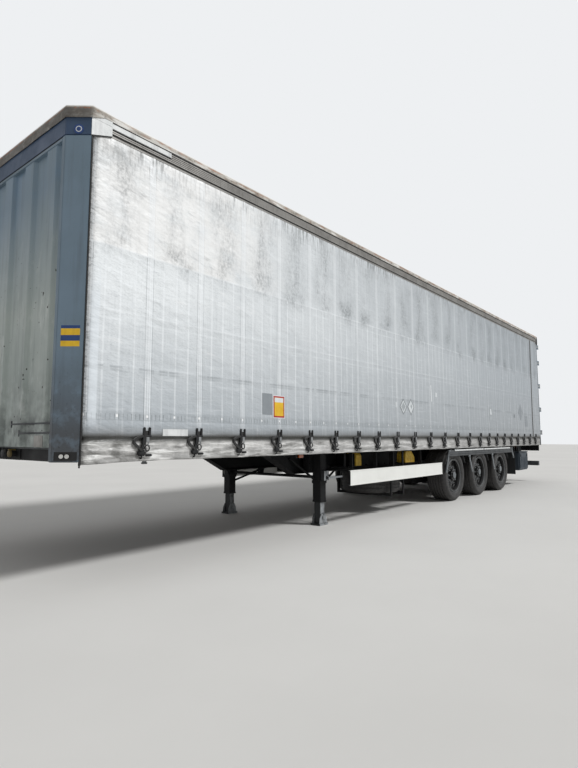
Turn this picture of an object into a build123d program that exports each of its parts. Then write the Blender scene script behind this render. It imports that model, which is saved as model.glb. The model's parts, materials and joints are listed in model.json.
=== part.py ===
import os
from math import cos, radians, sin

from build123d import *

os.makedirs("parts", exist_ok=True)

# Three-axle curtain-sided semi trailer, standing parked on its landing legs.
# Millimetres. Origin on the ground under the middle of the body,
# +X to the front wall, +Y to the trailer's left side, +Z up.

# Overall sizes
half_length = 6875.0
half_width = 1275.0
overall_height = 4000.0

# Levels, from the ground up
beam_bottom = 690.0
skid_face = 960.0
neck_bottom = 970.0
sill_bottom = 985.0
rave_bottom = 1010.0
beam_top = 1060.0
floor_bottom = 1160.0
floor_top = 1190.0
curtain_hem = 975.0
curtain_top = 3800.0
header_bottom = 3733.0
roof_underside = 3990.0

# Front corners, cut off at an angle in plan
corner_side_x = 6731.0
corner_front_y = 1102.0
corner_inner_y = 1050.0
wall_back_x = 6800.0

# Rear frame
frame_front_x = -6690.0
frame_rear_x = -6785.0
frame_half_width = 1250.0
post_inner_y = 1150.0
door_inner_x = -6790.0
door_outer_x = -6820.0
door_edge_y = 1240.0
door_gap = 16.0
door_bottom = 1130.0
door_top = 3850.0
hinge_x = -6863.0
hinge_y = 1263.0
hinge_heights = [1320, 1950, 2600, 3250, 3700]

# Running gear
axle_pitch = 1310.0
axle_xs = [-852.0 - axle_pitch * i for i in range(3)]
wheel_radius = 475.0
wheel_centre_y = 1040.0
hub_height = wheel_radius
rim_radius = 285.0

# Cross members are pitched at half the axle spacing, one above each axle
member_pitch = axle_pitch / 2
member_xs = [axle_xs[0] + member_pitch * i for i in range(-8, 12)]

sides = [("left", 1), ("right", -1)]


def box_between(x_range, y_range, z_range):
    """A plain block given by its low and high edges, added to the open part."""
    x0, x1 = x_range
    y0, y1 = y_range
    z0, z1 = z_range
    middle = ((x0 + x1) / 2, (y0 + y1) / 2, (z0 + z1) / 2)
    with Locations(middle):
        Box(abs(x1 - x0), abs(y1 - y0), abs(z1 - z0))


def finish(part, label):
    part.label = label
    export_step(part, f"parts/{label}.step")


def side_plate(outline, y_low, y_high):
    """A plate whose outline is in X and Z, standing between two values of Y."""
    with BuildSketch(Plane.XZ.offset(-y_high)) as plate:
        Polygon(*outline, align=None)
    extrude(plate.sketch, amount=y_high - y_low)


# Main beams: a low neck over the coupling, then full depth to the rear
beam_y = 650.0
flange_half = 70.0
web_half = 5.0
flange_thick = 14.0
beam_front_x = 6640.0
plate_front_x = 6350.0
beam_lower_line = [
    (beam_front_x, neck_bottom + 20),
    (plate_front_x, neck_bottom),
    (3900, neck_bottom),
    (3350, beam_bottom),
    (-5900, beam_bottom),
    (frame_front_x, 850),
]
beam_outline = beam_lower_line + [(frame_front_x, beam_top), (beam_front_x, beam_top)]
flange_outline = beam_lower_line + [(x, z + flange_thick) for x, z in reversed(beam_lower_line)]
with BuildPart() as main_beams:
    for side in (1, -1):
        y = side * beam_y
        side_plate(beam_outline, y - web_half, y + web_half)
        side_plate(flange_outline, y - flange_half, y + flange_half)
        box_between((frame_front_x, beam_front_x), (y - flange_half, y + flange_half),
                    (beam_top - 12, beam_top))
finish(main_beams.part, "main_beams")

# Cross members: rolled I sections lying across the beams and carrying the floor
member_half = 30.0
member_flange = 8.0
member_web_half = 3.0
member_reach = 1230.0
with BuildPart() as cross_members:
    for x in member_xs:
        box_between((x - member_half, x + member_half), (-member_reach, member_reach),
                    (beam_top, beam_top + member_flange))
        box_between((x - member_half, x + member_half), (-member_reach, member_reach),
                    (floor_bottom - member_flange, floor_bottom))
        box_between((x - member_web_half, x + member_web_half), (-member_reach, member_reach),
                    (beam_top + member_flange, floor_bottom - member_flange))
finish(cross_members.part, "cross_members")

# Side raves: folded channels that close the floor's edges; the straps hook on their lower lip
rave_outer_y = 1240.0
rave_section = [
    (rave_outer_y, rave_bottom), (rave_outer_y, floor_top), (1185, floor_top), (1185, floor_top - 10),
    (1230, floor_top - 10), (1230, rave_bottom + 10), (1200, rave_bottom + 10), (1200, rave_bottom),
]
with BuildPart() as side_raves:
    for side in (1, -1):
        with BuildSketch(Plane.YZ.offset(frame_front_x)):
            Polygon(*[(side * y, z) for y, z in rave_section], align=None)
        extrude(amount=corner_side_x - frame_front_x)
finish(side_raves.part, "side_raves")

# Load floor: plywood between the raves
with BuildPart() as load_floor:
    box_between((frame_front_x, corner_side_x), (-1185, 1185), (floor_bottom, floor_top))
finish(load_floor.part, "load_floor")

# Front sill under the front wall, and the coupling bolster behind it
sill_front_x = 6810.0
with BuildPart() as front_sill:
    box_between((corner_side_x, wall_back_x), (-corner_inner_y, corner_inner_y), (sill_bottom, floor_top))
    box_between((wall_back_x, sill_front_x), (-corner_inner_y, corner_inner_y), (sill_bottom, 1100))
    for side in (1, -1):
        box_between((beam_front_x, corner_side_x), (side * 600, side * 700), (sill_bottom, beam_top - 12))
finish(front_sill.part, "front_sill")

# Skid plate that rests on the coupling, turned up at its front edge
kingpin_x = 5225.0
skid_outline = [
    (4300, skid_face), (plate_front_x, skid_face), (beam_front_x, skid_face + 20),
    (beam_front_x, neck_bottom + 20), (plate_front_x, neck_bottom), (4300, neck_bottom),
]
with BuildPart() as skid_plate:
    side_plate(skid_outline, -720, 720)
    with Locations((kingpin_x, 0, (skid_face + neck_bottom) / 2)):
        Cylinder(36.5, neck_bottom - skid_face, mode=Mode.SUBTRACT)
finish(skid_plate.part, "skid_plate")

# Kingpin, two-inch pattern: collar, neck and lower flange
pin_profile = [
    (0, neck_bottom), (36.3, neck_bottom), (36.3, 930), (25.4, 930), (25.4, 895), (35.75, 895),
    (35.75, 882), (30, 876), (0, 876),
]
with BuildPart() as kingpin:
    with BuildSketch(Plane.XZ):
        Polygon(*[(kingpin_x + r, z) for r, z in pin_profile], align=None)
    revolve(axis=Axis((kingpin_x, 0, 0), (0, 0, 1)))
    box_between((kingpin_x - 250, kingpin_x + 250), (-580, 580), (neck_bottom, neck_bottom + 12))
finish(kingpin.part, "kingpin")

# Front wall: flat inside, with upright pressed ribs on its outer face
rib_pitch = 430.0
rib_outer_x = 6868.0
wall_sheet_x = 6840.0
with BuildPart() as front_wall:
    box_between((wall_back_x, wall_sheet_x), (-corner_inner_y, corner_inner_y), (1100, header_bottom))
    for i in range(-2, 3):
        rib = [
            (wall_sheet_x, rib_pitch * i - 115), (rib_outer_x, rib_pitch * i - 85),
            (rib_outer_x, rib_pitch * i + 85), (wall_sheet_x, rib_pitch * i + 115),
        ]
        with BuildSketch(Plane.XY.offset(1100)):
            Polygon(*rib, align=None)
        extrude(amount=header_bottom - 1100)
finish(front_wall.part, "front_wall")

# Corner posts with the cut-off outer face
post_section = [
    (corner_side_x, half_width), (half_length, corner_front_y), (half_length, corner_inner_y),
    (wall_back_x, corner_inner_y), (corner_side_x, 1160),
]
with BuildPart() as corner_posts:
    for side in (1, -1):
        with BuildSketch(Plane.XY.offset(sill_bottom)):
            Polygon(*[(x, side * y) for x, y in post_section], align=None)
        extrude(amount=header_bottom - sill_bottom)
finish(corner_posts.part, "corner_posts")

# Front header: one beam round the posts and the wall
header_section = [
    (corner_side_x, half_width), (half_length, corner_front_y),
    (half_length, -corner_front_y), (corner_side_x, -half_width),
    (corner_side_x, -1160), (wall_back_x, -corner_inner_y),
    (wall_back_x, corner_inner_y), (corner_side_x, 1160),
]
with BuildPart() as front_header:
    with BuildSketch(Plane.XY.offset(header_bottom)):
        Polygon(*header_section, align=None)
    extrude(amount=roof_underside - header_bottom)
finish(front_header.part, "front_header")

# Roof rails: extruded section with a track for the bows and a lip for the curtain rollers
rail_outer_y = 1262.0
rail_section = [
    (rail_outer_y, curtain_top), (rail_outer_y, roof_underside), (1200, roof_underside), (1200, 3980),
    (1252, 3980), (1252, 3900), (1190, 3900), (1190, 3890), (1252, 3890), (1252, 3812),
    (1225, 3812), (1225, curtain_top),
]
with BuildPart() as roof_rails:
    for side in (1, -1):
        with BuildSketch(Plane.YZ.offset(frame_front_x)):
            Polygon(*[(side * y, z) for y, z in rail_section], align=None)
        extrude(amount=corner_side_x - frame_front_x)
finish(roof_rails.part, "roof_rails")

# Roof bows that slide on the rails and carry the tarpaulin
bow_count = 21
bow_pitch = 620.0
with BuildPart() as roof_bows:
    for i in range(bow_count):
        x = bow_pitch * (i - (bow_count - 1) / 2)
        box_between((x - 22, x + 22), (-1245, 1245), (3900, 3955))
        box_between((x - 22, x + 22), (-1198, 1198), (3955, roof_underside))
finish(roof_bows.part, "roof_bows")

# Roof tarpaulin
tarpaulin_outline = [
    (frame_rear_x, -rail_outer_y), (corner_side_x, -rail_outer_y), (6862, -1100),
    (6862, 1100), (corner_side_x, rail_outer_y), (frame_rear_x, rail_outer_y),
]
with BuildPart() as roof_tarpaulin:
    with BuildSketch(Plane.XY.offset(roof_underside)):
        Polygon(*tarpaulin_outline, align=None)
    extrude(amount=overall_height - roof_underside)
finish(roof_tarpaulin.part, "roof_tarpaulin")

# Side curtains, hanging from the rails and tucked in below the floor
curtain_inner_y = 1250.0
curtain_outer_y = 1262.0
curtain_rear_x = -6735.0
for name, side in sides:
    with BuildPart() as curtain:
        box_between((curtain_rear_x, corner_side_x), (side * curtain_inner_y, side * curtain_outer_y),
                    (curtain_hem, curtain_top))
    finish(curtain.part, f"curtain_{name}")

# Strap buckles along the hem. Columns: how many, pitch, first distance behind the corner post
buckle_rows = [(15, 589.0, 610.0), (8, 506.0, 9360.0)]
buckle_xs = [corner_side_x - first - pitch * i for count, pitch, first in buckle_rows for i in range(count)]
with BuildPart() as curtain_buckles:
    for side in (1, -1):
        for x in buckle_xs:
            y_range = (side * curtain_outer_y, side * half_width)
            box_between((x - 14, x + 14), y_range, (1150, 1265))
            box_between((x - 26, x + 26), y_range, (1080, 1150))
            box_between((x - 16, x + 16), y_range, (1010, 1080))
finish(curtain_buckles.part, "curtain_buckles")

# Sliding side posts behind the curtains
side_post_xs = [3360.0, 0.0, -3360.0]
with BuildPart() as side_posts:
    for side in (1, -1):
        for x in side_post_xs:
            box_between((x - 60, x + 60), (side * 1185, side * 1240), (floor_top, curtain_top))
finish(side_posts.part, "side_posts")

# Rear posts, with the fixed halves of the hinges
knuckle_radius = 12.0
pin_radius = 6.0
leaf_half = 28.0
knuckle_height = 26.0
knuckle_gap = 4.0
with BuildPart() as rear_posts:
    for side in (1, -1):
        box_between((frame_rear_x, frame_front_x), (side * post_inner_y, side * frame_half_width),
                    (sill_bottom, roof_underside))
        for z in hinge_heights:
            for z_low in (z - leaf_half - knuckle_gap - knuckle_height, z + leaf_half + knuckle_gap):
                box_between((hinge_x, -6745), (side * frame_half_width, side * 1261),
                            (z_low, z_low + knuckle_height))
                with Locations((hinge_x, side * hinge_y, z_low + knuckle_height / 2)):
                    Cylinder(knuckle_radius, knuckle_height)
            with Locations((hinge_x, side * hinge_y, z)):
                Cylinder(pin_radius, 2 * (leaf_half + knuckle_gap + knuckle_height))
finish(rear_posts.part, "rear_posts")

# Rear header between the posts
with BuildPart() as rear_header:
    box_between((frame_rear_x, frame_front_x), (-post_inner_y, post_inner_y), (3785, roof_underside))
finish(rear_header.part, "rear_header")

# Rear sill, with the lamp board and buffers below it
board_y = 1200.0
with BuildPart() as rear_sill:
    box_between((frame_rear_x, frame_front_x), (-post_inner_y, post_inner_y), (sill_bottom, floor_top))
    box_between((-6760, -6745), (-board_y, board_y), (820, sill_bottom))
    for side in (1, -1):
        box_between((-6850, frame_rear_x), (side * 40, side * 240), (sill_bottom, 1110))
        box_between((-6850, frame_rear_x), (side * 960, side * 1140), (sill_bottom, 1110))
finish(rear_sill.part, "rear_sill")

# Rear doors, each with its hinge leaves
for name, side in sides:
    with BuildPart() as rear_door:
        box_between((door_outer_x, door_inner_x), (side * door_gap / 2, side * door_edge_y),
                    (door_bottom, door_top))
        for z in hinge_heights:
            leaf = [
                (door_outer_x, 1090), (door_outer_x - 8, 1090), (door_outer_x - 8, 1222),
                (hinge_x - 8, hinge_y - 12), (hinge_x + 9, hinge_y - 8), (door_outer_x, 1236),
            ]
            with BuildSketch(Plane.XY.offset(z - leaf_half)):
                Polygon(*[(x, side * y) for x, y in leaf], align=None)
            extrude(amount=2 * leaf_half)
            with Locations((hinge_x, side * hinge_y, z)):
                Cylinder(knuckle_radius, 2 * leaf_half)
        for z in hinge_heights:
            with Locations((hinge_x, side * hinge_y, z)):
                Cylinder(pin_radius + 0.5, 2 * leaf_half + 2, mode=Mode.SUBTRACT)
    finish(rear_door.part, f"rear_door_{name}")

# Lock bars: two on each door, in guides, each with a flat handle
bar_radius = 10.0
bar_x = door_outer_x - 13
bar_ys = [330.0, 860.0]
guide_heights = [1180, 1480, 2350, 3050, 3790]
for name, side in sides:
    with BuildPart() as lock_bars:
        for y in bar_ys:
            with Locations((bar_x, side * y, (door_bottom + door_top) / 2)):
                Cylinder(bar_radius, door_top - door_bottom - 40)
            for z in guide_heights:
                box_between((door_outer_x - 26, door_outer_x), (side * (y - 32), side * (y + 32)),
                            (z - 30, z + 30))
            box_between((door_outer_x - 24, door_outer_x - 10), (side * (y - 20), side * (y + 190)),
                        (1590, 1625))
    finish(lock_bars.part, f"lock_bars_{name}")

# Rear underrun beam on its two brackets
bracket_outline = [
    (-6330, beam_top - 12), (frame_front_x, beam_top - 12), (frame_front_x, sill_bottom),
    (-6790, 540), (-6690, 540),
]
with BuildPart() as underrun_bumper:
    box_between((-6800, -6680), (-1180, 1180), (420, 540))
    for side in (1, -1):
        side_plate(bracket_outline, min(side * 720, side * 740), max(side * 720, side * 740))
finish(underrun_bumper.part, "underrun_bumper")

# Rear lamps on the board
with BuildPart() as rear_lamps:
    for side in (1, -1):
        box_between((-6815, -6760), (side * 760, side * 1180), (840, 965))
        box_between((-6790, -6760), (side * 150, side * 270), (845, 885))
finish(rear_lamps.part, "rear_lamps")

# Side guards: white panel on four hangers
guard_hanger_xs = [axle_xs[0] + member_pitch * i for i in (2, 3, 4, 5)]
with BuildPart() as side_guards:
    for side in (1, -1):
        box_between((-200, 2800), (side * 1230, side * 1264), (530, 735))
        for x in guard_hanger_xs:
            box_between((x - 25, x + 25), (side * 1170, side * 1230), (560, 735))
            box_between((x - 25, x + 25), (side * 1120, side * 1170), (560, beam_top))
finish(side_guards.part, "side_guards")

# Landing legs: outer tube with the bracket to the beam
leg_x = 2995.0
leg_y = 880.0
leg_half = 65.0
leg_low = 310.0
with BuildPart() as landing_legs:
    for side in (1, -1):
        y = side * leg_y
        box_between((leg_x - leg_half, leg_x + leg_half), (y - leg_half, y + leg_half),
                    (leg_low, beam_top - 4))
        box_between((leg_x - 78, leg_x + 78), (y - 72, y + 72), (560, 600))
        box_between((leg_x - 150, leg_x + 150), (side * 720, side * (leg_y - leg_half)), (700, beam_top - 4))
finish(landing_legs.part, "landing_legs")

# Drawn-out inner tubes on their feet: a base plate and two cheeks
foot_plate = 25.0
cheek = [(-90, foot_plate), (90, foot_plate), (80, 90), (50, 150), (-50, 150), (-80, 90)]
with BuildPart() as landing_feet:
    for side in (1, -1):
        y = side * leg_y
        box_between((leg_x - 50, leg_x + 50), (y - 50, y + 50), (foot_plate, leg_low))
        box_between((leg_x - 100, leg_x + 100), (y - 80, y + 80), (0, foot_plate))
        for y_low in (y - 64, y + 50):
            side_plate([(leg_x + dx, z) for dx, z in cheek], y_low, y_low + 14)
finish(landing_feet.part, "landing_feet")

# Cross shaft between the legs, with the gearbox and the folded crank
with BuildPart() as landing_gear_shaft:
    with BuildSketch(Plane.XZ.offset(-(leg_y - leg_half))):
        with Locations((leg_x, 640)):
            Circle(16)
    extrude(amount=2 * (leg_y - leg_half))
    box_between((leg_x - 55, leg_x + 55), (leg_y + leg_half, leg_y + 125), (602, 730))
    box_between((leg_x - 12, leg_x + 12), (leg_y + 125, leg_y + 150), (620, 660))
    box_between((leg_x - 320, leg_x + 12), (leg_y + 150, leg_y + 168), (628, 652))
    box_between((leg_x - 320, leg_x - 300), (leg_y + 60, leg_y + 168), (630, 650))
finish(landing_gear_shaft.part, "landing_gear_shaft")


def wheel_ring(profile, x, y, z):
    """Revolve a closed outline of (radius, sideways) about a wheel's own axis."""
    with BuildSketch(Plane.XY.offset(z)) as ring:
        Polygon(*[(x + r, y + w) for r, w in profile], align=None)
    revolve(ring.sketch, axis=Axis((x, y, z), (0, 1, 0)))


# Tyres are made of flats, one of them facing down
tyre_flats = 32
tyre_half_width = 190.0
shoulder_width = 45.0
shoulder_drop = 50.0
bead_radius = 286.0
bead_half_width = 147.0
wall_foot_radius = 308.0
wall_slope = 42.0


def tyre_drum(base, radius, low, high, mode=Mode.ADD):
    """A flat-sided drum about the normal of a plane, added to the open part or cut from it."""
    with BuildSketch(base.offset(low)) as flats:
        RegularPolygon(radius, tyre_flats, major_radius=False, rotation=180 / tyre_flats)
    extrude(flats.sketch, amount=high - low, mode=mode)


def tyre_block(base):
    """A tyre about the normal of a plane: bevelled shoulders, and side walls that slope in to the beads."""
    wheel_axis = Axis(base.origin, base.z_dir)
    tyre_drum(base, wheel_radius, -tyre_half_width, tyre_half_width)
    shoulders = edges().filter_by(wheel_axis, reverse=True)
    chamfer(shoulders, shoulder_width, shoulder_drop)
    tyre_drum(base, wall_foot_radius, bead_half_width, tyre_half_width, Mode.SUBTRACT)
    chamfer(edges(Select.LAST).group_by(wheel_axis)[-1], wall_slope)
    tyre_drum(base, wall_foot_radius, -tyre_half_width, -bead_half_width, Mode.SUBTRACT)
    chamfer(edges(Select.LAST).group_by(wheel_axis)[0], wall_slope)
    tyre_drum(base, bead_radius, -tyre_half_width, tyre_half_width, Mode.SUBTRACT)


# Spare wheel, lying flat, and the frame that carries it
spare_x = 1200.0
spare_y = 620.0
spare_low = 304.0
spare_middle = spare_low + tyre_half_width
spare_plane = Plane((spare_x, spare_y, spare_middle))
with BuildPart() as spare_wheel:
    tyre_block(spare_plane)
    with BuildSketch(spare_plane.offset(-6)) as spare_disc:
        RegularPolygon(bead_radius, tyre_flats, major_radius=False, rotation=180 / tyre_flats)
    extrude(spare_disc.sketch, amount=12)
finish(spare_wheel.part, "spare_wheel")

with BuildPart() as spare_wheel_carrier:
    for x in (spare_x - 200, spare_x + 200):
        box_between((x - 20, x + 20), (90, 1115), (spare_low - 40, spare_low))
        box_between((x - 20, x + 20), (90, 130), (spare_low, 1040))
        box_between((x - 20, x + 20), (1095, 1115), (spare_low, 1040))
    for y_range in ((90, 130), (1095, 1115)):
        box_between((spare_x - 220, spare_x + 220), y_range, (1040, beam_top))
finish(spare_wheel_carrier.part, "spare_wheel_carrier")

# Axles: beam, seats, brake plates and spindles
spindle_radius = 45.4
# Brake chambers. Columns: distance behind the axle, length, radius
chamber_steps = [(110, 60, 78), (170, 14, 90), (184, 90, 80)]
with BuildPart() as axles:
    for x in axle_xs:
        with BuildSketch(Plane.XZ.offset(-880)):
            with Locations((x, hub_height)):
                Circle(63)
        extrude(amount=1760)
        with BuildSketch(Plane.XZ.offset(-1070)):
            with Locations((x, hub_height)):
                Circle(spindle_radius)
        extrude(amount=2140)
        for side in (1, -1):
            box_between((x - 75, x + 75), (side * 590, side * 710), (405, 548))
            with BuildSketch(Plane.XZ.offset(-max(side * 822, side * 836))):
                with Locations((x, hub_height)):
                    Circle(205)
            extrude(amount=14)
            # brake chamber on its bracket behind the axle
            box_between((x - 110, x - 40), (side * 360, side * 440), (430, 560))
            for start, length, radius in chamber_steps:
                with BuildSketch(Plane.YZ.offset(x - start - length)):
                    with Locations((side * 400, 500)):
                        Circle(radius)
                extrude(amount=length)
finish(axles.part, "axles")

# Trailing arms under the axles. Columns: distance from the axle, height
arm_line = [
    (560, 405), (-90, 405), (-250, 345), (-520, 345), (-520, 300), (-250, 300), (-90, 330), (560, 330),
]
hanger_line = [(410, beam_bottom), (610, beam_bottom), (560, 405), (470, 405)]
with BuildPart() as trailing_arms:
    for x in axle_xs:
        for side in (1, -1):
            side_plate([(x + dx, z) for dx, z in arm_line], side * beam_y - 50, side * beam_y + 50)
finish(trailing_arms.part, "trailing_arms")

with BuildPart() as spring_hangers:
    for x in axle_xs:
        for side in (1, -1):
            side_plate([(x + dx, z) for dx, z in hanger_line], side * beam_y - 62, side * beam_y + 62)
finish(spring_hangers.part, "spring_hangers")

# Air springs between the arms and the beams. Columns: radius, height
spring_profile = [
    (0, 345), (95, 345), (100, 440), (135, 470), (140, 520), (140, 620), (125, 660), (110, beam_bottom),
    (0, beam_bottom),
]
spring_back = 380.0
with BuildPart() as air_springs:
    for x in axle_xs:
        for side in (1, -1):
            with BuildSketch(Plane.XZ.offset(-side * beam_y)):
                Polygon(*[(x - spring_back + r, z) for r, z in spring_profile], align=None)
            revolve(axis=Axis((x - spring_back, side * beam_y, 0), (0, 0, 1)))
finish(air_springs.part, "air_springs")

# Rims. Columns: radius, distance outwards from the tyre's middle plane
rim_outline = [
    (45.9, -138), (112, -138), (112, 88), (256, 88), (262, -132), (274, -162), (306, -162), (306, -150),
    (rim_radius, -148), (272, -120), (272, 120), (rim_radius, 148), (306, 150), (306, 162), (274, 162),
    (262, 132), (256, 102), (112, 102), (100, 150), (72, 158), (68, 172), (0, 172), (0, 44), (45.9, 44),
]
hand_hole_circle = 200.0
hand_holes = 10
wheel_names = ["front", "middle", "rear"]
for name, side in sides:
    for axle_name, x in zip(wheel_names, axle_xs):
        y = side * wheel_centre_y
        with BuildPart() as tyre:
            tyre_block(Plane.XZ.offset(-y).shift_origin((x, y, hub_height)))
        finish(tyre.part, f"tyre_{axle_name}_{name}")
        with BuildPart() as rim:
            wheel_ring([(r, side * w) for r, w in rim_outline], x, y, hub_height)
            for i in range(hand_holes):
                angle = radians(360 / hand_holes * i)
                hole_x = x + hand_hole_circle * cos(angle)
                hole_z = hub_height + hand_hole_circle * sin(angle)
                with BuildSketch(Plane.XZ.offset(-(y + 130))):
                    with Locations((hole_x, hole_z)):
                        Circle(26)
                extrude(amount=260, mode=Mode.SUBTRACT)
        finish(rim.part, f"rim_{axle_name}_{name}")

# Wheel rails outside the tyres, on plates from the raves. Columns: top X, top Z, bottom X, bottom Z
rail_in = 1241.0
rail_out = 1264.0
struts = [
    (-530, 950, -370, 547), (-1490, 835, -1650, 500), (-2810, 835, -2930, 490), (-4160, 950, -4300, 700),
]
strut_width = 50.0
with BuildPart() as wheel_rails:
    for side in (1, -1):
        y_low = min(side * rail_in, side * rail_out)
        y_high = max(side * rail_in, side * rail_out)
        box_between((-4190, -530), (y_low, y_high), (835, 950))
        for top_x, top_z, low_x, low_z in struts:
            strut = [
                (top_x, top_z), (low_x, low_z), (low_x - strut_width, low_z), (top_x - strut_width, top_z),
            ]
            side_plate(strut, y_low, y_high)
        for x in axle_xs:
            box_between((x - 40, x + 40), (side * rave_outer_y, side * 1249), (900, beam_top))
finish(wheel_rails.part, "wheel_rails")

# Mudguards: one arch over each wheel, hung from the cross member above it, and the rear flap
arch_radius = 520.0
arch_thick = 8.0
arch_inner_y = 845.0
arch_outer_y = 1235.0
arch_span = 65.0
with BuildPart() as mudguards:
    for x in axle_xs:
        for side in (1, -1):
            low_x = arch_radius * sin(radians(arch_span))
            low_z = hub_height + arch_radius * cos(radians(arch_span))
            outer = arch_radius + arch_thick
            outer_x = outer * sin(radians(arch_span))
            outer_z = hub_height + outer * cos(radians(arch_span))
            y_high = max(side * arch_inner_y, side * arch_outer_y)
            with BuildSketch(Plane.XZ.offset(-y_high)):
                with BuildLine():
                    ThreePointArc((x - low_x, low_z), (x, hub_height + arch_radius), (x + low_x, low_z))
                    Line((x + low_x, low_z), (x + outer_x, outer_z))
                    ThreePointArc((x + outer_x, outer_z), (x, hub_height + outer), (x - outer_x, outer_z))
                    Line((x - outer_x, outer_z), (x - low_x, low_z))
                make_face()
            extrude(amount=arch_outer_y - arch_inner_y)
            box_between((x - 25, x + 25), (side * 1000, side * 1060),
                        (hub_height + arch_radius + 5, beam_top))
finish(mudguards.part, "mudguards")

flap_x = -4520.0
with BuildPart() as mud_flaps:
    for side in (1, -1):
        box_between((flap_x, member_xs[3] + 30), (side * 980, side * 1040), (beam_top - 14, beam_top))
        box_between((flap_x, flap_x + 30), (side * 860, side * 1195), (beam_top - 60, beam_top))
        box_between((flap_x, flap_x + 10), (side * 860, side * 1225), (300, beam_top - 60))
finish(mud_flaps.part, "mud_flaps")

# Tool box behind the wheels on the left, hung from a long bar
with BuildPart() as tool_box:
    box_between((-5710, -4980), (760, 1200), (365, 830))
    for x in (-5600, -5090):
        box_between((x - 25, x + 25), (900, 950), (830, 1030))
    box_between((-5740, member_xs[2] + 30), (900, 950), (1030, beam_top))
finish(tool_box.part, "tool_box")

# Air tanks across the frame, on straps from the cross members
tank_radius = 138.0
tank_height = 820.0
tank_xs = [member_xs[9], member_xs[10]]
with BuildPart() as air_tanks:
    for x in tank_xs:
        with BuildSketch(Plane.XZ.offset(-500)):
            with Locations((x, tank_height)):
                Circle(tank_radius)
        extrude(amount=1000)
        for side in (1, -1):
            box_between((x - 20, x + 20), (side * 280, side * 320), (tank_height + 120, beam_top))
finish(air_tanks.part, "air_tanks")

# Wheel chocks in holders under the rave, one along the trailer and one across it.
# Outline columns: along the chock, up from its foot
chock_outline = [(0, 0), (330, 0), (330, 150), (300, 190), (105, 190), (0, 90)]
chock_z = 765.0
chock_width = 160.0
along_x = 540.0
along_y = 930.0
across_x = 2080.0
across_y = 662.0
with BuildPart() as wheel_chocks:
    side_plate([(along_x + dx, chock_z + z) for dx, z in chock_outline], along_y, along_y + chock_width)
    with BuildSketch(Plane.YZ.offset(across_x)):
        Polygon(*[(across_y + dy, chock_z + z) for dy, z in chock_outline], align=None)
    extrude(amount=chock_width)
finish(wheel_chocks.part, "wheel_chocks")

with BuildPart() as chock_holders:
    box_between((member_xs[10] - 25, along_x + 340), (along_y - 5, along_y + chock_width + 5),
                (chock_z - 8, chock_z))
    box_between((member_xs[10] - 25, member_xs[10] + 25), (along_y - 20, along_y - 5),
                (chock_z - 8, beam_top))
    box_between((across_x - 10, member_xs[13] + 25), (across_y - 2, across_y + 332), (chock_z - 8, chock_z))
    box_between((member_xs[13] - 25, member_xs[13] + 25), (910, 925), (chock_z, beam_top))
finish(chock_holders.part, "chock_holders")

# Connection panel on the front sill. Columns: Y, socket radius
sockets = [(-330, 26), (-200, 34), (-70, 34), (70, 34), (200, 26), (330, 26)]
with BuildPart() as connection_panel:
    box_between((sill_front_x, sill_front_x + 8), (-420, 420), (sill_bottom, 1095))
    for y, radius in sockets:
        with BuildSketch(Plane.YZ.offset(sill_front_x + 8)):
            with Locations((y, 1040)):
                Circle(radius)
        extrude(amount=50)
finish(connection_panel.part, "connection_panel")
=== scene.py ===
# Looks of a parked curtain-sided semi trailer: weathered white curtains on a black chassis.
# Metres, +X to the front wall, +Y to the left side, +Z up.
import json
import math

import bmesh
import bpy
from mathutils import Matrix, Vector, noise


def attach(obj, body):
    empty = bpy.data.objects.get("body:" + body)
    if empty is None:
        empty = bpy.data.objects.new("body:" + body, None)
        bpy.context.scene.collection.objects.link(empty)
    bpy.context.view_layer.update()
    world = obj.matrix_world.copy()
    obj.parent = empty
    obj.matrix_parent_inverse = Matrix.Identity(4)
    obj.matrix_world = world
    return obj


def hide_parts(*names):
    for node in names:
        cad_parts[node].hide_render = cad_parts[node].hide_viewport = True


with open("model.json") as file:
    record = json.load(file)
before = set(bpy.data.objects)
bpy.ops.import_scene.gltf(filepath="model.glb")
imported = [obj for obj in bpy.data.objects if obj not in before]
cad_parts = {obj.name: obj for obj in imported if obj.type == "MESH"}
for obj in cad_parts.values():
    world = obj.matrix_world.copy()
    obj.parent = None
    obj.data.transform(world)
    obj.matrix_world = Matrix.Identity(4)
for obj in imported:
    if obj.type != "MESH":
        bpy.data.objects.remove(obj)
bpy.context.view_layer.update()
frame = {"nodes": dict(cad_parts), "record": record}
print("frame loaded")


# Camera

camera = {
    "place": (8.925, 5.263, 1.185),
    "forward": (-0.766, -0.636, 0.1005),
    "lens": 24.76,  # mm, on a 36 mm long side
}


def addCamera():
    data = bpy.data.cameras.new("camera")
    data.lens = camera["lens"]
    data.sensor_width = 36
    data.clip_end = 300
    made = bpy.data.objects.new("camera", data)
    bpy.context.scene.collection.objects.link(made)
    made.location = camera["place"]
    made.rotation_euler = Vector(camera["forward"]).to_track_quat("-Z", "Y").to_euler()
    bpy.context.scene.camera = made


addCamera()
print("camera placed")


# Nodes: one function adds any of them, and the others lay out a whole pattern or coat

def toLinear(hexColour):
    shares = [int(hexColour[i:i + 2], 16) / 255 for i in (1, 3, 5)]
    return tuple(s / 12.92 if s <= 0.04045 else ((s + 0.055) / 1.055) ** 2.4 for s in shares) + (1.0,)


def add(tree, kind, links=None, **settings):
    # one node, its settings and what goes into its sockets; gives back what comes out
    made = tree.nodes.new(kind)
    for name, value in settings.items():
        setattr(made, name, value)
    for socket, value in (links or {}).items():
        if isinstance(value, bpy.types.NodeSocket):
            tree.links.new(value, made.inputs[socket])
        else:
            made.inputs[socket].default_value = value
    return made.outputs


def startMaterial(name):
    material = bpy.data.materials.new(name)
    material.use_nodes = True
    tree = material.node_tree
    tree.nodes.clear()
    return material, tree, add(tree, "ShaderNodeTexCoord")["Object"]


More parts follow.
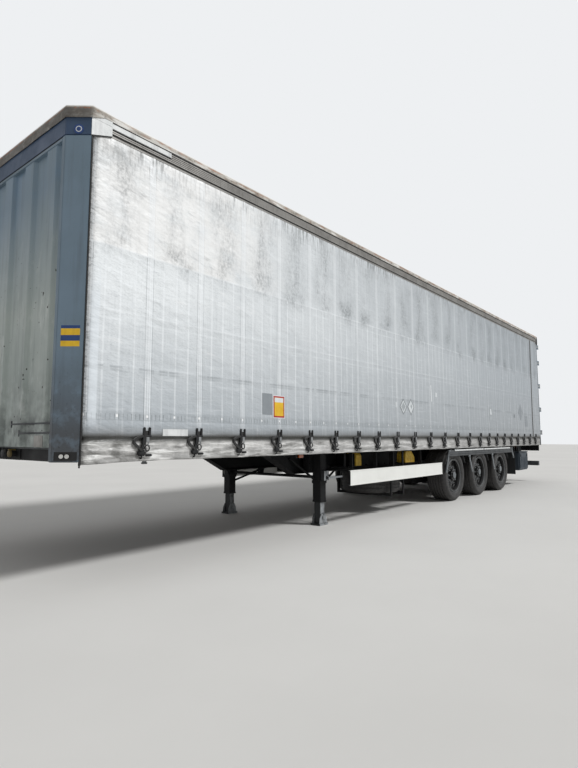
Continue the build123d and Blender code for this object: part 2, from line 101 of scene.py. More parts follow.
def closeMaterial(material, sockets, height=None, depth=0.001):
    # the shader comes last, with the relief worked out from height, depth in metres
    tree = material.node_tree
    if height is not None:
        sockets["Normal"] = add(tree, "ShaderNodeBump", {"Height": height, "Distance": depth})["Normal"]
    shader = add(tree, "ShaderNodeBsdfPrincipled", sockets)["BSDF"]
    add(tree, "ShaderNodeOutputMaterial", {"Surface": shader})
    return material


def blotches(tree, place, size, low, high, share=1.0, stretch=(1, 1, 1), detail=5.0):
    # uneven marks about size metres across: 0 between them, share on them
    scaled = add(tree, "ShaderNodeMapping", {"Vector": place, "Scale": stretch})[0]
    cloud = add(tree, "ShaderNodeTexNoise", {"Vector": scaled, "Scale": 1 / size, "Detail": detail,
                                             "Roughness": 0.6})[0]
    return add(tree, "ShaderNodeMapRange", {0: cloud, 1: low, 2: high, 4: share})[0]


def between(tree, value, low, high, soft):
    # 1 from low to high, fading out over soft on each side
    rising = add(tree, "ShaderNodeMapRange", {0: value, 1: low - soft, 2: low})[0]
    falling = add(tree, "ShaderNodeMapRange", {0: value, 1: high + soft, 2: high})[0]
    return add(tree, "ShaderNodeMath", {0: rising, 1: falling}, operation="MULTIPLY")[0]


def layer(tree, colour, over, *shares):
    # lays a colour over another by the product of the shares
    share = shares[0]
    for other in shares[1:]:
        share = add(tree, "ShaderNodeMath", {0: share, 1: other}, operation="MULTIPLY")[0]
    top = toLinear(over) if isinstance(over, str) else over
    return add(tree, "ShaderNodeMix", {0: share, 6: colour, 7: top}, data_type="RGBA")[2]


def stain(tree, place, colour, rows):
    # lays blotches over a colour, a row each: tone, what limits it, and then what blotches() takes
    for tone, limits, *spread in rows:
        colour = layer(tree, colour, tone, blotches(tree, place, *spread), *limits)
    return colour


# Meshes

def showMesh(name, mesh, material, angle=40):
    mesh.materials.clear()
    mesh.materials.append(material)
    mesh.shade_smooth()
    mesh.set_sharp_from_angle(angle=math.radians(angle))
    piece = bpy.data.objects.new(name, mesh)
    bpy.context.scene.collection.objects.link(piece)
    return piece


def meshPiece(name, verts, faces, material, angle=40):
    mesh = bpy.data.meshes.new(name)
    mesh.from_pydata([tuple(v) for v in verts], [], faces)
    mesh.update()
    return showMesh(name, mesh, material, angle)


def loosen(verts, faces):
    # an open mesh to work on, from points and rings of their numbers
    bm = bmesh.new()
    made = [bm.verts.new(v) for v in verts]
    for face in faces:
        bm.faces.new([made[i] for i in face])
    return bm


def freeze(name, bm):
    # the open mesh, stored
    mesh = bpy.data.meshes.new(name)
    bm.to_mesh(mesh)
    bm.free()
    return mesh


def closeMesh(name, bm, material, angle=40):
    bmesh.ops.remove_doubles(bm, verts=bm.verts, dist=0.00001)
    bmesh.ops.recalc_face_normals(bm, faces=bm.faces)
    return showMesh(name, freeze(name, bm), material, angle)


def dress(piece, body, slotName, *nodes):
    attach(piece, body)
    if nodes:
        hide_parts(*nodes)
    return piece


def fasten(name, bm, finishName, slotName, *nodes, body="trailer", angle=40, twin=False):
    # closes an open mesh and fixes it to its body as a piece, with twin on the right as well
    if twin:
        mirrorSides(bm)
    return dress(closeMesh(name, bm, finish[finishName], angle), body, slotName, *nodes)


def repaint(nodeName, finishName):
    # a node that is shown as the solid it is
    materials = frame["nodes"][nodeName].data.materials
    materials.clear()
    materials.append(finish[finishName])


def addBlock(bm, xs, ys, zs, bevel=0.0, segments=2):
    size = [abs(b - a) for a, b in (xs, ys, zs)]
    middle = Vector([(a + b) / 2 for a, b in (xs, ys, zs)])
    turn = Matrix.Translation(middle) @ Matrix.Diagonal((*size, 1))
    made = bmesh.ops.create_cube(bm, size=1, matrix=turn)["verts"]
    if bevel:
        edges = list({e for v in made for e in v.link_edges})
        bmesh.ops.bevel(bm, geom=edges, offset=bevel, segments=segments, affect="EDGES", clamp_overlap=True)


def addRod(bm, start, end, radius, sides=16, endRadius=None):
    start, end = Vector(start), Vector(end)
    line = end - start
    turn = Matrix.Translation((start + end) / 2) @ line.to_track_quat("Z", "Y").to_matrix().to_4x4()
    bmesh.ops.create_cone(bm, cap_ends=True, segments=sides, radius1=radius,
                          radius2=radius if endRadius is None else endRadius, depth=line.length, matrix=turn)


def addPlate(bm, outline, low, high, axis="Y"):
    # a flat plate: its outline in the other two axes, in order, and its two faces along axis
    sides = [[bm.verts.new({"X": (at, a, b), "Y": (a, at, b), "Z": (a, b, at)}[axis]) for a, b in outline]
             for at in (low, high)]
    count = len(outline)
    bm.faces.new(sides[0])
    bm.faces.new(list(reversed(sides[1])))
    for i in range(count):
        j = (i + 1) % count
        bm.faces.new((sides[0][i], sides[1][i], sides[1][j], sides[0][j]))


def addTurned(bm, profile, centre, axis="Y", sides=32, loop=False):
    # an outline of (radius, distance along) turned about an axis through centre
    rings = []
    for radius, along in profile:
        ring = []
        for s in range(sides if radius > 0 else 1):
            a = radius * math.cos(math.tau * s / sides)
            b = radius * math.sin(math.tau * s / sides)
            point = {"X": (along, a, b), "Y": (a, along, b), "Z": (a, b, along)}[axis]
            ring.append(bm.verts.new(Vector(centre) + Vector(point)))
        rings.append(ring)
    pairs = list(zip(rings, rings[1:]))
    if loop:
        pairs.append((rings[-1], rings[0]))
    for low, high in pairs:
        for s in range(sides):
            corners = [low[s % len(low)], low[(s + 1) % sides % len(low)],
                       high[(s + 1) % sides % len(high)], high[s % len(high)]]
            corners = list(dict.fromkeys(corners))
            if len(corners) > 2:
                bm.faces.new(corners)


def smoothPath(points, steps=6):
    # a smooth line through the points
    points = [Vector(p) for p in points]
    padded = [points[0]] + points + [points[-1]]
    path = []
    for i in range(1, len(padded) - 2):
        a, b, c, d = padded[i - 1:i + 3]
        for step in range(steps):
            t = step / steps
            path.append(0.5 * (2 * b + (c - a) * t + (2 * a - 5 * b + 4 * c - d) * t * t
                               + (3 * b - a - 3 * c + d) * t ** 3))
    return path + [points[-1]]


def addTube(bm, points, radius, sides=8, flat=None):
    # a round line along the points, or with flat a ribbon that wide along Y
    points = [Vector(p) for p in points]
    across = None
    rings = []
    for i, point in enumerate(points):
        along = (points[min(i + 1, len(points) - 1)] - points[max(i - 1, 0)]).normalized()
        if flat:
            across = Vector((0, 1, 0))
        else:
            across = along.orthogonal() if across is None else across - along * across.dot(along)
            across.normalize()
        up = along.cross(across).normalized()
        if flat:
            corners = [(-flat, -radius), (flat, -radius), (flat, radius), (-flat, radius)]
        else:
            corners = [(radius * math.cos(math.tau * s / sides), radius * math.sin(math.tau * s / sides))
                       for s in range(sides)]
        rings.append([bm.verts.new(point + a * across + b * up) for a, b in corners])
    count = len(rings[0])
    for low, high in zip(rings, rings[1:]):
        for s in range(count):
            n = (s + 1) % count
            bm.faces.new((low[s], low[n], high[n], high[s]))
    bm.faces.new(rings[0][::-1])
    bm.faces.new(rings[-1])


def mirrorSides(bm):
    # what stands on the left is made again on the right
    twin = bmesh.ops.duplicate(bm, geom=bm.verts[:] + bm.edges[:] + bm.faces[:])["geom"]
    for part in twin:
        if isinstance(part, bmesh.types.BMVert):
            part.co.y = -part.co.y
    bmesh.ops.reverse_faces(bm, faces=[part for part in twin if isinstance(part, bmesh.types.BMFace)])


def bevelledCopy(nodeName, width, material):
    # the same solid with its edges worn round, so that they catch light; faces drawn twice are made once
    source = frame["nodes"][nodeName].data
    bm = bmesh.new()
    verts = [bm.verts.new(v.co) for v in source.vertices]
    for face in source.polygons:
        if len(set(face.vertices)) > 2:
            try:
                bm.faces.new([verts[i] for i in face.vertices])
            except ValueError:
                continue
    bmesh.ops.remove_doubles(bm, verts=bm.verts, dist=0.00005)
    bmesh.ops.dissolve_limit(bm, angle_limit=math.radians(1), verts=bm.verts, edges=bm.edges)
    sharp = [e for e in bm.edges if e.is_manifold and e.calc_face_angle(0) > math.radians(30)]
    bmesh.ops.bevel(bm, geom=sharp, offset=width, segments=2, affect="EDGES", clamp_overlap=True)
    name = nodeName + "_finished"
    return showMesh(name, freeze(name, bm), material, 35)


# Geometry Nodes trees for what repeats

def startTree(name, inputs):
    tree = bpy.data.node_groups.new(name, "GeometryNodeTree")
    tree.interface.new_socket("Geometry", in_out="INPUT", socket_type="NodeSocketGeometry")
    for label, kind in inputs.items():
        tree.interface.new_socket(label, in_out="INPUT", socket_type=kind)
    tree.interface.new_socket("Geometry", in_out="OUTPUT", socket_type="NodeSocketGeometry")
    return tree, add(tree, "NodeGroupInput")


def endTree(tree, instances, material):
    real = add(tree, "GeometryNodeRealizeInstances", {0: instances})[0]
    painted = add(tree, "GeometryNodeSetMaterial", {"Geometry": real, "Material": material})[0]
    add(tree, "NodeGroupOutput", {0: painted})
    return tree


def rowTree():
    # copies of a part in a straight row, and that row again in a second direction
    tree, given = startTree("rows of parts", {"Count": "NodeSocketInt", "Step": "NodeSocketVector",
                                              "Rows": "NodeSocketInt", "Row Step": "NodeSocketVector",
                                              "Finish": "NodeSocketMaterial"})
    line = add(tree, "GeometryNodeMeshLine", {"Count": given["Count"], "Offset": given["Step"]})[0]
    row = add(tree, "GeometryNodeInstanceOnPoints", {"Points": line, "Instance": given["Geometry"]})[0]
    starts = add(tree, "GeometryNodeMeshLine", {"Count": given["Rows"], "Offset": given["Row Step"]})[0]
    rows = add(tree, "GeometryNodeInstanceOnPoints", {"Points": starts, "Instance": row})[0]
    return endTree(tree, rows, given["Finish"])


def ringTree():
    # copies of a part turned about the Y axis, then moved to the wheel's or ring's centre
    tree, given = startTree("ring of parts", {"Count": "NodeSocketInt", "Centre": "NodeSocketVector",
                                              "Finish": "NodeSocketMaterial"})
    line = add(tree, "GeometryNodeMeshLine", {"Count": given["Count"], "Offset": (0, 0, 0)})[0]
    index = add(tree, "GeometryNodeInputIndex")[0]
    step = add(tree, "ShaderNodeMath", {0: math.tau, 1: given["Count"]}, operation="DIVIDE")[0]
    angle = add(tree, "ShaderNodeMath", {0: index, 1: step}, operation="MULTIPLY")[0]
    turn = add(tree, "ShaderNodeCombineXYZ", {"Y": angle})[0]
    copies = add(tree, "GeometryNodeInstanceOnPoints",
                 {"Points": line, "Instance": given["Geometry"], "Rotation": turn})[0]
    real = add(tree, "GeometryNodeRealizeInstances", {0: copies})[0]
    moved = add(tree, "GeometryNodeTransform", {"Geometry": real, "Translation": given["Centre"]})[0]
    return endTree(tree, moved, given["Finish"])


trees = {"row": rowTree(), "ring": ringTree()}


def repeatPart(name, bm, treeName, finishName, angle=40, **inputs):
    # the part goes in as a plain mesh, and comes back as one mesh of all its copies
    material = finish[finishName]
    part = closeMesh("part", bm, material, angle)
    tree = trees[treeName]
    modifier = part.modifiers.new("copies", "NODES")
    modifier.node_group = tree
    given = {"Rows": 1, "RowStep": (0.0, 0.0, 0.0)} if treeName == "row" else {}
    given.update(inputs, Finish=material)
    for socket in tree.interface.items_tree:
        label = socket.name.replace(" ", "")
        if socket.in_out == "INPUT" and label in given:
            modifier[socket.identifier] = given[label]
    part.data.update()
    part.update_tag()
    bpy.context.view_layer.update()
    shown = part.evaluated_get(bpy.context.evaluated_depsgraph_get())
    mesh = bpy.data.meshes.new_from_object(shown)
    part.modifiers.clear()
    bpy.data.objects.remove(part)
    return showMesh(name, mesh, material, angle)


def joinSides(name, pieces, finishName, slotName, *nodes, angle=40):
    # several pieces and their mirror images on the right, as one piece of the trailer
    bm = bmesh.new()
    for piece in pieces:
        bm.from_mesh(piece.data)
        bpy.data.objects.remove(piece)
    mirrorSides(bm)
    dress(showMesh(name, freeze(name, bm), finish[finishName], angle), "trailer", slotName, *nodes)


# Materials

even = (1, 1, 1)  # blotches not stretched along any axis


def weatheredPaint(name, look):
    # paint, plastic or bare metal left outdoors: two close tones, rain streaks, specks of rust, dust on top.
    # A look's patch, fleck and peel are sizes in metres and its bump a depth. The rest are tones and shares
    material, tree, place = startMaterial(name)
    cloud = blotches(tree, place, look["patch"], 0.35, 0.65, detail=6)
    colour = layer(tree, toLinear(look["base"]), look["shade"], cloud)
    streaks = blotches(tree, place, 0.06, 0.5, 0.72, look["streaks"], look.get("runs", (1, 1, 0.06)))
    colour = layer(tree, colour, look.get("dirt", "#3A3833"), streaks)
    specks = blotches(tree, place, look.get("fleck", 0.015), 0.66, 0.7, look.get("rust", 0.0), detail=3)
    colour = layer(tree, colour, "#5C3823", specks, cloud)
    if "foot" in look:
        clean, dirty, tone, share = look["foot"]
        z = add(tree, "ShaderNodeSeparateXYZ", {0: place})["Z"]
        low = add(tree, "ShaderNodeMapRange", {0: z, 1: clean, 2: dirty})[0]
        colour = stain(tree, place, colour, (
            (tone, (low,), 0.12, 0.2, 0.5, share, even, 7),
            ("#26282A", (low,), 0.02, 0.62, 0.7, 0.7, even, 3),
        ))
    facing = add(tree, "ShaderNodeSeparateXYZ", {0: add(tree, "ShaderNodeNewGeometry")["Normal"]})
    # painted sunlight: faces that point sideways, along Y, take the look's pale tone
    if "rubbed" in look:
        sideways = add(tree, "ShaderNodeMath", {0: facing["Y"]}, operation="ABSOLUTE")[0]
        onSide = add(tree, "ShaderNodeMapRange", {0: sideways, 1: 0.6, 2: 0.9})[0]
        colour = stain(tree, place, colour, ((look["rubbed"], (onSide,), 0.1, 0.3, 0.5, 0.9, (1, 1, 0.5)),))
    lying = add(tree, "ShaderNodeMapRange", {0: facing["Z"], 1: 0.2, 2: 0.9})[0]
    dust = blotches(tree, place, 0.03, 0.25, 0.7, look.get("dust", 0.0))
    colour = layer(tree, colour, look.get("dustColour", "#6F6A60"), lying, dust)
    low, high = look["rough"]
    rough = add(tree, "ShaderNodeMapRange", {0: cloud, 3: low, 4: high})[0]
    skin = add(tree, "ShaderNodeTexNoise", {"Vector": place, "Scale": 1 / look.get("peel", 0.006)})[0]
    height = add(tree, "ShaderNodeMath", {0: skin, 1: 0.4, 2: cloud}, operation="MULTIPLY_ADD")[0]
    sockets = {"Base Color": colour, "Roughness": rough, "Metallic": look.get("metallic", 0.0),
               "IOR": look.get("ior", 1.5)}
    return closeMaterial(material, sockets, height, look.get("bump", 0.0006))


paints = {
    # satin black chassis paint over steel: road film greys it a little and softens its shine
    "chassisPaint": {"base": "#07080A", "shade": "#0D0E10", "streaks": 0.12, "dirt": "#22201D", "rust": 0.3,
                     "dust": 0.2, "dustColour": "#34312D", "rough": (0.5, 0.75), "patch": 0.3, "ior": 1.35},
    # grey coil-coated corner steel, dulled by weather, its blue tint painted in as sky-lit shade
    "postPaint": {"base": "#6F8292", "shade": "#667885", "streaks": 0.3, "dirt": "#4A545C", "rust": 0.25,
                  "rough": (0.42, 0.6), "patch": 0.7, "bump": 0.0004, "foot": (1.95, 1.2, "#45484C", 0.95)},
    # the posts' blue-grey paint, made darker as painted shade for the header, with run-off streaks
    "headerPaintShaded": {"base": "#334967", "shade": "#2B4059", "streaks": 0.15, "dirt": "#262C36", "rust": 0.3,
                    "rough": (0.42, 0.6), "patch": 0.35},
    # white enamel of the rail's end pieces and strips: bright, with grey handling marks
    "trimEnamel": {"base": "#E6E8E8", "shade": "#D2D5D5", "streaks": 0.35, "dirt": "#77767A", "rust": 0.3,
                   "rough": (0.35, 0.5), "patch": 0.12},
    # bare extruded aluminium, gone matt and grey outdoors
    "railAluminium": {"base": "#A4A29E", "shade": "#8E8C89", "streaks": 0.4, "dirt": "#5A5853",
                      "metallic": 0.4, "rough": (0.45, 0.65), "patch": 0.25, "dust": 0.3,
                      "runs": (3, 1, 0.5)},
    # hot-dip galvanised steel: pale grey, uneven, with a soft sparkle
    "zincSteel": {"base": "#A3A6A8", "shade": "#7E8183", "streaks": 0.3, "dirt": "#4B4840",
                  "metallic": 0.7, "rough": (0.35, 0.55), "patch": 0.05, "rust": 0.4},
    # dark phosphated steel of the buckles
    "buckleSteel": {"base": "#0B0C0E", "shade": "#181A1C", "streaks": 0.2, "rust": 0.4, "metallic": 0.2,
                    "rough": (0.38, 0.6), "patch": 0.03, "fleck": 0.006, "peel": 0.002, "bump": 0.0002},
    # white powder-coated guard panel with a thin film of road dirt near its edges
    "guardAluminium": {"base": "#EFF0EC", "shade": "#E6E7E3", "streaks": 0.05, "dirt": "#A3A39C",
                       "rough": (0.3, 0.5), "patch": 0.5, "dust": 0.2},
    # landing gear's inner tubes and feet: dark as painted shade, sideways faces painted pale as sunlight
    "legZinc": {"base": "#1C1E20", "shade": "#2A2C2E", "streaks": 0.4, "dirt": "#141414", "metallic": 0.2,
                "rough": (0.4, 0.6), "patch": 0.12, "rust": 0.4, "rubbed": "#9DA1A4"},
    # dark grey painted steel of the wheel rail, dusty
    "wheelRailPaint": {"base": "#3F4347", "shade": "#333739", "streaks": 0.3, "dirt": "#2C2B28", "dust": 0.4,
                       "rough": (0.45, 0.7), "patch": 0.3, "rust": 0.4},
    # paler grey paint of the struts that stand in front of the tyres
    "strutPaint": {"base": "#777C80", "shade": "#63686B", "streaks": 0.35, "dirt": "#3D3C39", "dust": 0.3,
                   "rough": (0.4, 0.6), "patch": 0.2, "rust": 0.3},
    # moulded black polypropylene, greyed by light and dust
    "guardPlastic": {"base": "#141618", "shade": "#1F2123", "streaks": 0.25, "dirt": "#3A3731", "dust": 0.5,
                     "rough": (0.55, 0.75), "patch": 0.2, "peel": 0.003},
    # moulded grey-blue polyethylene of the tool box
    "boxPlastic": {"base": "#333E48", "shade": "#2A343D", "streaks": 0.25, "dirt": "#4A4B48", "dust": 0.4,
                   "rough": (0.45, 0.65), "patch": 0.25, "peel": 0.003},
    # black natural-rubber bellows and seals, dusty in their folds
    "bellowsRubber": {"base": "#101010", "shade": "#1A1A1A", "streaks": 0.2, "dust": 0.3, "rough": (0.6, 0.8),
                      "patch": 0.08, "peel": 0.003},
    # black painted wheel disc with a bloom of brake dust
    "rimPaint": {"base": "#050608", "shade": "#0D0E10", "streaks": 0.12, "dirt": "#34302B", "rust": 0.35,
                 "rough": (0.22, 0.42), "patch": 0.12, "fleck": 0.008, "runs": (1, 1, 1), "ior": 1.4},
    # yellow moulded chock, scuffed and grey at its corners
    "chockPlastic": {"base": "#D8B83A", "shade": "#BC9324", "streaks": 0.5, "dirt": "#5A4A28", "dust": 0.3,
                     "rough": (0.45, 0.6), "patch": 0.05, "runs": (1, 1, 0.5)},
    # white laminate skin of the rear doors, marked by handling
    "doorLaminate": {"base": "#D5D7D6", "shade": "#C6C9C8", "streaks": 0.4, "dirt": "#83817A",
                     "rough": (0.3, 0.5), "patch": 0.6, "rust": 0.1},
    # printed film of plates and stickers: even and satin
    "signRed": {"base": "#B3242B", "shade": "#9E2028", "streaks": 0.2, "rough": (0.3, 0.5), "patch": 0.1},
    "signYellow": {"base": "#E9BE2A", "shade": "#D8AC1F", "streaks": 0.25, "rough": (0.3, 0.5), "patch": 0.1},
    "signBlue": {"base": "#1B3F77", "shade": "#17366A", "streaks": 0.2, "rough": (0.3, 0.5), "patch": 0.1},
    # old enamel of the air couplings, its red and yellow browned by grease
    "couplingRed": {"base": "#5E1A1C", "shade": "#3A1415", "streaks": 0.5, "rough": (0.4, 0.6),
                    "patch": 0.03},
    "couplingYellow": {"base": "#6E5A1C", "shade": "#4A3D16", "streaks": 0.5, "rough": (0.4, 0.6),
                       "patch": 0.03},
    # patches of new coated fabric glued over the old: smooth, cleaner, a little darker or lighter
    "patchDark": {"base": "#8E9499", "shade": "#858B90", "streaks": 0.3, "dirt": "#6C7276",
                  "rough": (0.4, 0.55), "patch": 0.2},
    "patchWorn": {"base": "#5F6568", "shade": "#8B9195", "streaks": 0.3, "dirt": "#A9AFB3",
                  "rough": (0.45, 0.6), "patch": 0.05},
    "patchGrey": {"base": "#A9AFB3", "shade": "#9DA3A7", "streaks": 0.2, "rough": (0.4, 0.55), "patch": 0.1},
    "patchPale": {"base": "#DDE1E3", "shade": "#CFD4D7", "streaks": 0.3, "dirt": "#8E9498",
                  "rough": (0.35, 0.5), "patch": 0.1},
}
finish = {name: weatheredPaint(name, look) for name, look in paints.items()}
print("paints made")


curtainTones = {
    "rearLow": "#979CA0", "frontLow": "#B0B7BD", "rearHigh": "#A2A9AF", "frontHigh": "#F3F7F9",
    "thread": "#868D93", "pale": "#F2F6F9", "mould": "#565C5F", "bleached": "#F8F8F7", "grime": "#4E4B46",
    "bandDark": "#9B9B9A", "bandPale": "#EDECEA",
}


def curtainFabric():
    # PVC-coated polyester: a soft sheen over light grey, whiter where weld bars pressed it,
    # with mould smears between the upright straps and grime gathered along the lower fold
    material, tree, place = startMaterial("curtainPvc")
    axes = add(tree, "ShaderNodeSeparateXYZ", {0: place})
    x, z = axes["X"], axes["Z"]
    bay = add(tree, "ShaderNodeSeparateXYZ", {0: add(tree, "ShaderNodeUVMap", uv_map="bays")[0]})["X"]
    fromStrap = add(tree, "ShaderNodeMath", {0: bay, 1: 0.5}, operation="PINGPONG")[0]  # 0.5 between straps
    fromQuarter = add(tree, "ShaderNodeMath", {0: bay, 1: 0.125}, operation="PINGPONG")[0]
    forward = add(tree, "ShaderNodeMapRange", {0: x, 1: -6.5, 2: 6.2})[0]
    forward = add(tree, "ShaderNodeMath", {0: forward, 1: 1.85}, operation="POWER")[0]
    above = add(tree, "ShaderNodeMapRange", {0: z, 1: 2.82, 2: 2.84})[0]
    below = add(tree, "ShaderNodeMath", {0: 1.0, 1: above}, operation="SUBTRACT")[0]
    fades = {
        # a value, where the fade starts and ends, and what it is there if not 0 and 1
        "upward": (z, 1.25, 2.5), "high": (z, 1.6, 2.9, 0.25), "cornerHigh": (z, 3.4, 3.75),
        "overFold": (z, 1.26, 1.36), "fading": (z, 1.5, 2.3, 0.5), "topEdge": (z, 3.5, 3.79),
        "litHigh": (z, 2.7, 2.3), "grime": (z, 1.31, 1.185), "inBand": (z, 1.168, 1.152),
        "falling": (z, 1.0, 1.13, 0.35), "frontEdge": (x, 6.62, 6.71), "toRear": (x, -1.0, -5.5, 0.0, 0.5),
        "pale": (forward, 0.0, 1.0, 0.35), "bright": (forward, 0.0, 1.0, 0.2),
        "rolls": (forward, 0.0, 1.0, 0.25, 0.9), "bandShare": (above, 0.0, 1.0, 0.16, 0.4),
        "faint": (above, 0.0, 1.0, 0.5, 0.18), "band": (fromStrap, 0.054, 0.046),
        "middle": (fromStrap, 0.1, 0.4, 0.12), "wide": (fromStrap, 0.04, 0.3),
        "thread": (fromQuarter, 0.021, 0.008),
        "patchy": (blotches(tree, place, 0.45, 0.42, 0.58), 0.0, 1.0, 0.35),
    }
    fade = {name: add(tree, "ShaderNodeMapRange", dict(enumerate(row)))[0] for name, row in fades.items()}
    bright, inBand = fade["bright"], fade["inBand"]

    # tone: whiter forward and upward, in slow clouds
    lower = layer(tree, toLinear(curtainTones["rearLow"]), curtainTones["frontLow"], forward)
    upper = layer(tree, toLinear(curtainTones["rearHigh"]), curtainTones["frontHigh"], forward)
    colour = layer(tree, lower, upper, fade["upward"])
    cloud = blotches(tree, place, 0.5, 0.35, 0.7, 0.2, (1, 1, 0.7), 6)
    colour = layer(tree, colour, "#98A0A6", cloud)

    # fine grain, level creases in painted shade and painted highlight, and thin upright threads
    grey, pale, mould = curtainTones["thread"], curtainTones["pale"], curtainTones["mould"]
    colour = stain(tree, place, colour, (
        ("#7F868A", (), 0.011, 0.5, 0.75, 0.2, (0.6, 1, 1), 2),
        (grey, (blotches(tree, place, 0.25, 0.4, 0.6),), 0.02, 0.55, 0.74, 0.3, (0.09, 1, 1), 5),
        (pale, (fade["pale"],), 0.03, 0.55, 0.72, 0.3, (0.07, 1, 1), 5),
        (grey, (), 0.025, 0.52, 0.8, 0.16, (1, 1, 0.05), 3),
        (pale, (below,), 0.03, 0.56, 0.7, 0.22, (1, 1, 0.04), 3),
    ))

    # the foremost bays are bleached white above the weld, with creases that fall away to the rear in painted
    # shade and painted highlight, and grey towards their upper corner as painted shade with dirt
    fore = between(tree, x, 5.2, 7.0, 1.2)
    colour = stain(tree, place, colour, (
        (curtainTones["bleached"], (fore, above), 0.3, 0.3, 0.55, 0.8, (1, 1, 1.2), 7),
    ))
    slanted = add(tree, "ShaderNodeMapping", {0: place, 2: (0.0, 0.2, 0.0)})[0]
    # the creases as strokes of painted shade and painted highlight
    creaseShade, glinting = [(fore, fade["high"], blotches(tree, place, size, 0.48, 0.6)) for size in (0.35, 0.3)]
    colour = stain(tree, slanted, colour, (
        ("#858889", creaseShade, 0.055, 0.56, 0.68, 0.42, (0.2, 1, 1), 9),
        ("#FCFCFC", glinting, 0.048, 0.56, 0.68, 0.5, (0.2, 1, 1), 9),
    ))
    # painted shade under the header, with dirt, grey in the upper front corner
    inCorner = (between(tree, x, 6.45, 7.0, 0.35), fade["cornerHigh"])
    colour = stain(tree, place, colour, (("#72716D", inCorner, 0.07, 0.38, 0.64, 0.6, (1, 1, 0.6), 7),))

    # straps: two weld edges with a thin shadow, three bright reinforcing lines in each bay below the weld
    worn = blotches(tree, place, 0.12, 0.3, 0.55, 0.75, (1, 1, 0.25), 8)
    worn = add(tree, "ShaderNodeMath", {0: worn, 1: fade["overFold"]}, operation="MULTIPLY")[0]
    colour = layer(tree, colour, pale, fade["band"], bright, fade["bandShare"])
    shadow = add(tree, "ShaderNodeMath", {0: fromStrap, 1: 0.062, 2: 0.006}, operation="COMPARE")[0]
    colour = layer(tree, colour, "#6F767B", shadow, worn, fade["faint"])
    edge = add(tree, "ShaderNodeMath", {0: fromStrap, 1: 0.041, 2: 0.008}, operation="COMPARE")[0]
    colour = layer(tree, colour, pale, edge, worn, bright)
    colour = layer(tree, colour, pale, fade["thread"], below, worn, bright, fade["fading"])

    # level welds: a broken pale line each, and the lowest two dark and dashed
    for height, share in ((2.83, 0.85), (2.74, 0.35), (2.27, 0.5), (2.2, 0.35)):
        weld = between(tree, z, height - 0.006, height + 0.004, 0.008)
        colour = layer(tree, colour, pale, weld, worn, share, bright)
    broken = blotches(tree, place, 0.4, 0.4, 0.55, 0.8, (1, 1, 0.1), 8)
    dashes = blotches(tree, place, 0.07, 0.42, 0.5, 1.0, (1, 1, 0.1), 1)
    for height, share in ((1.787, 0.5), (1.76, 0.3)):
        weld = between(tree, z, height - 0.006, height + 0.006, 0.008)
        colour = layer(tree, colour, "#737A7F", weld, broken, dashes, share)

    # stitches over the fold, the seam under them, and a pale dot in each quarter of a bay
    tick = add(tree, "ShaderNodeMath", {0: x, 1: 0.021}, operation="PINGPONG")[0]
    tick = add(tree, "ShaderNodeMath", {0: tick, 1: 0.0, 2: 0.004}, operation="COMPARE")[0]
    colour = layer(tree, colour, "#6E7478", tick, between(tree, z, 1.338, 1.385, 0.004), worn)
    colour = layer(tree, colour, "#7D8488", between(tree, z, 1.331, 1.334, 0.004), worn, 0.6)
    colour = layer(tree, colour, "#868C90", between(tree, z, 1.33, 1.4, 0.01), 0.18)
    dot = add(tree, "ShaderNodeMath", {0: bay, 1: 0.25}, operation="PINGPONG")[0]
    dot = add(tree, "ShaderNodeMath", {0: dot, 1: 0.0, 2: 0.017}, operation="COMPARE")[0]
    colour = layer(tree, colour, "#F7F8F8", dot, between(tree, z, 1.36, 1.379, 0.003), bright)

    # mould: upright smears in the middle of each bay, blots hanging over the weld, drips from the top edge
    fine = blotches(tree, place, 0.03, 0.3, 0.65, 1.0, (1, 1, 0.7), 6)
    smears = (fade["middle"], fine, between(tree, z, 3.05, 3.6, 0.25), 0.52)
    blots = (fade["wide"], fine, between(tree, z, 2.85, 2.93, 0.16), 0.7)
    colour = stain(tree, place, colour, (
        (mould, smears, 0.19, 0.38, 0.64, 1.0, (1, 1, 0.3), 8),
        (mould, blots, 0.3, 0.42, 0.62, 1.0, (1, 1, 0.8), 9),
        ("#66696A", (fade["topEdge"], fade["patchy"]), 0.028, 0.46, 0.62, 0.75, (1, 1, 0.13), 6),
        ("#4E5355", (fade["frontEdge"],), 0.018, 0.48, 0.68, 0.7, (0.5, 1, 0.8), 4),
    ))
    lit = between(tree, x, 6.6, 6.665, 0.015)
    colour = layer(tree, colour, "#E6EDF3", lit, fade["litHigh"], fade["overFold"], 0.65)

    # grime above the fold, a painted shadow at the crease, the band below in painted highlight and shade
    grime = add(tree, "ShaderNodeMath", {0: fade["grime"], 1: 1.4}, operation="POWER")[0]
    colour = stain(tree, place, colour, (
        (curtainTones["grime"], (grime,), 0.12, 0.0, 0.55, 0.9, (0.3, 1, 1)),
    ))
    # painted sheen highlights on the band, strongest at its top, and painted shade in its level folds
    bandTone = stain(tree, place, toLinear(curtainTones["bandDark"]), (
        (curtainTones["bandPale"], (fade["falling"], bright), 0.09, 0.3, 0.72, 1.0, (0.7, 1, 1), 8),
        ("#5C5B57", (), 0.058, 0.5, 0.66, 0.7, (0.14, 1, 1.2), 6),
    ))
    # painted highlights along the rolls
    rolls = blotches(tree, place, 0.05, 0.47, 0.64, 1.0, (0.13, 1, 1.1), 5)
    bandTone = layer(tree, bandTone, "#FAFAF8", rolls, fade["rolls"])
    # painted shade in the crumpled folds at the front corner
    bandTone = stain(tree, slanted, bandTone, (
        ("#4B4A46", (between(tree, x, 6.2, 7.0, 0.3),), 0.08, 0.46, 0.62, 0.65, (0.5, 1, 1), 8),
    ))
    # painted shade: the band darker towards the rear
    bandTone = layer(tree, bandTone, "#5E5D59", fade["toRear"])
    colour = layer(tree, colour, bandTone, inBand)
    # painted shadow under the fold's overhang, a dark line along the crease
    colour = layer(tree, colour, "#33332F", between(tree, z, 1.156, 1.188, 0.035), 0.85)

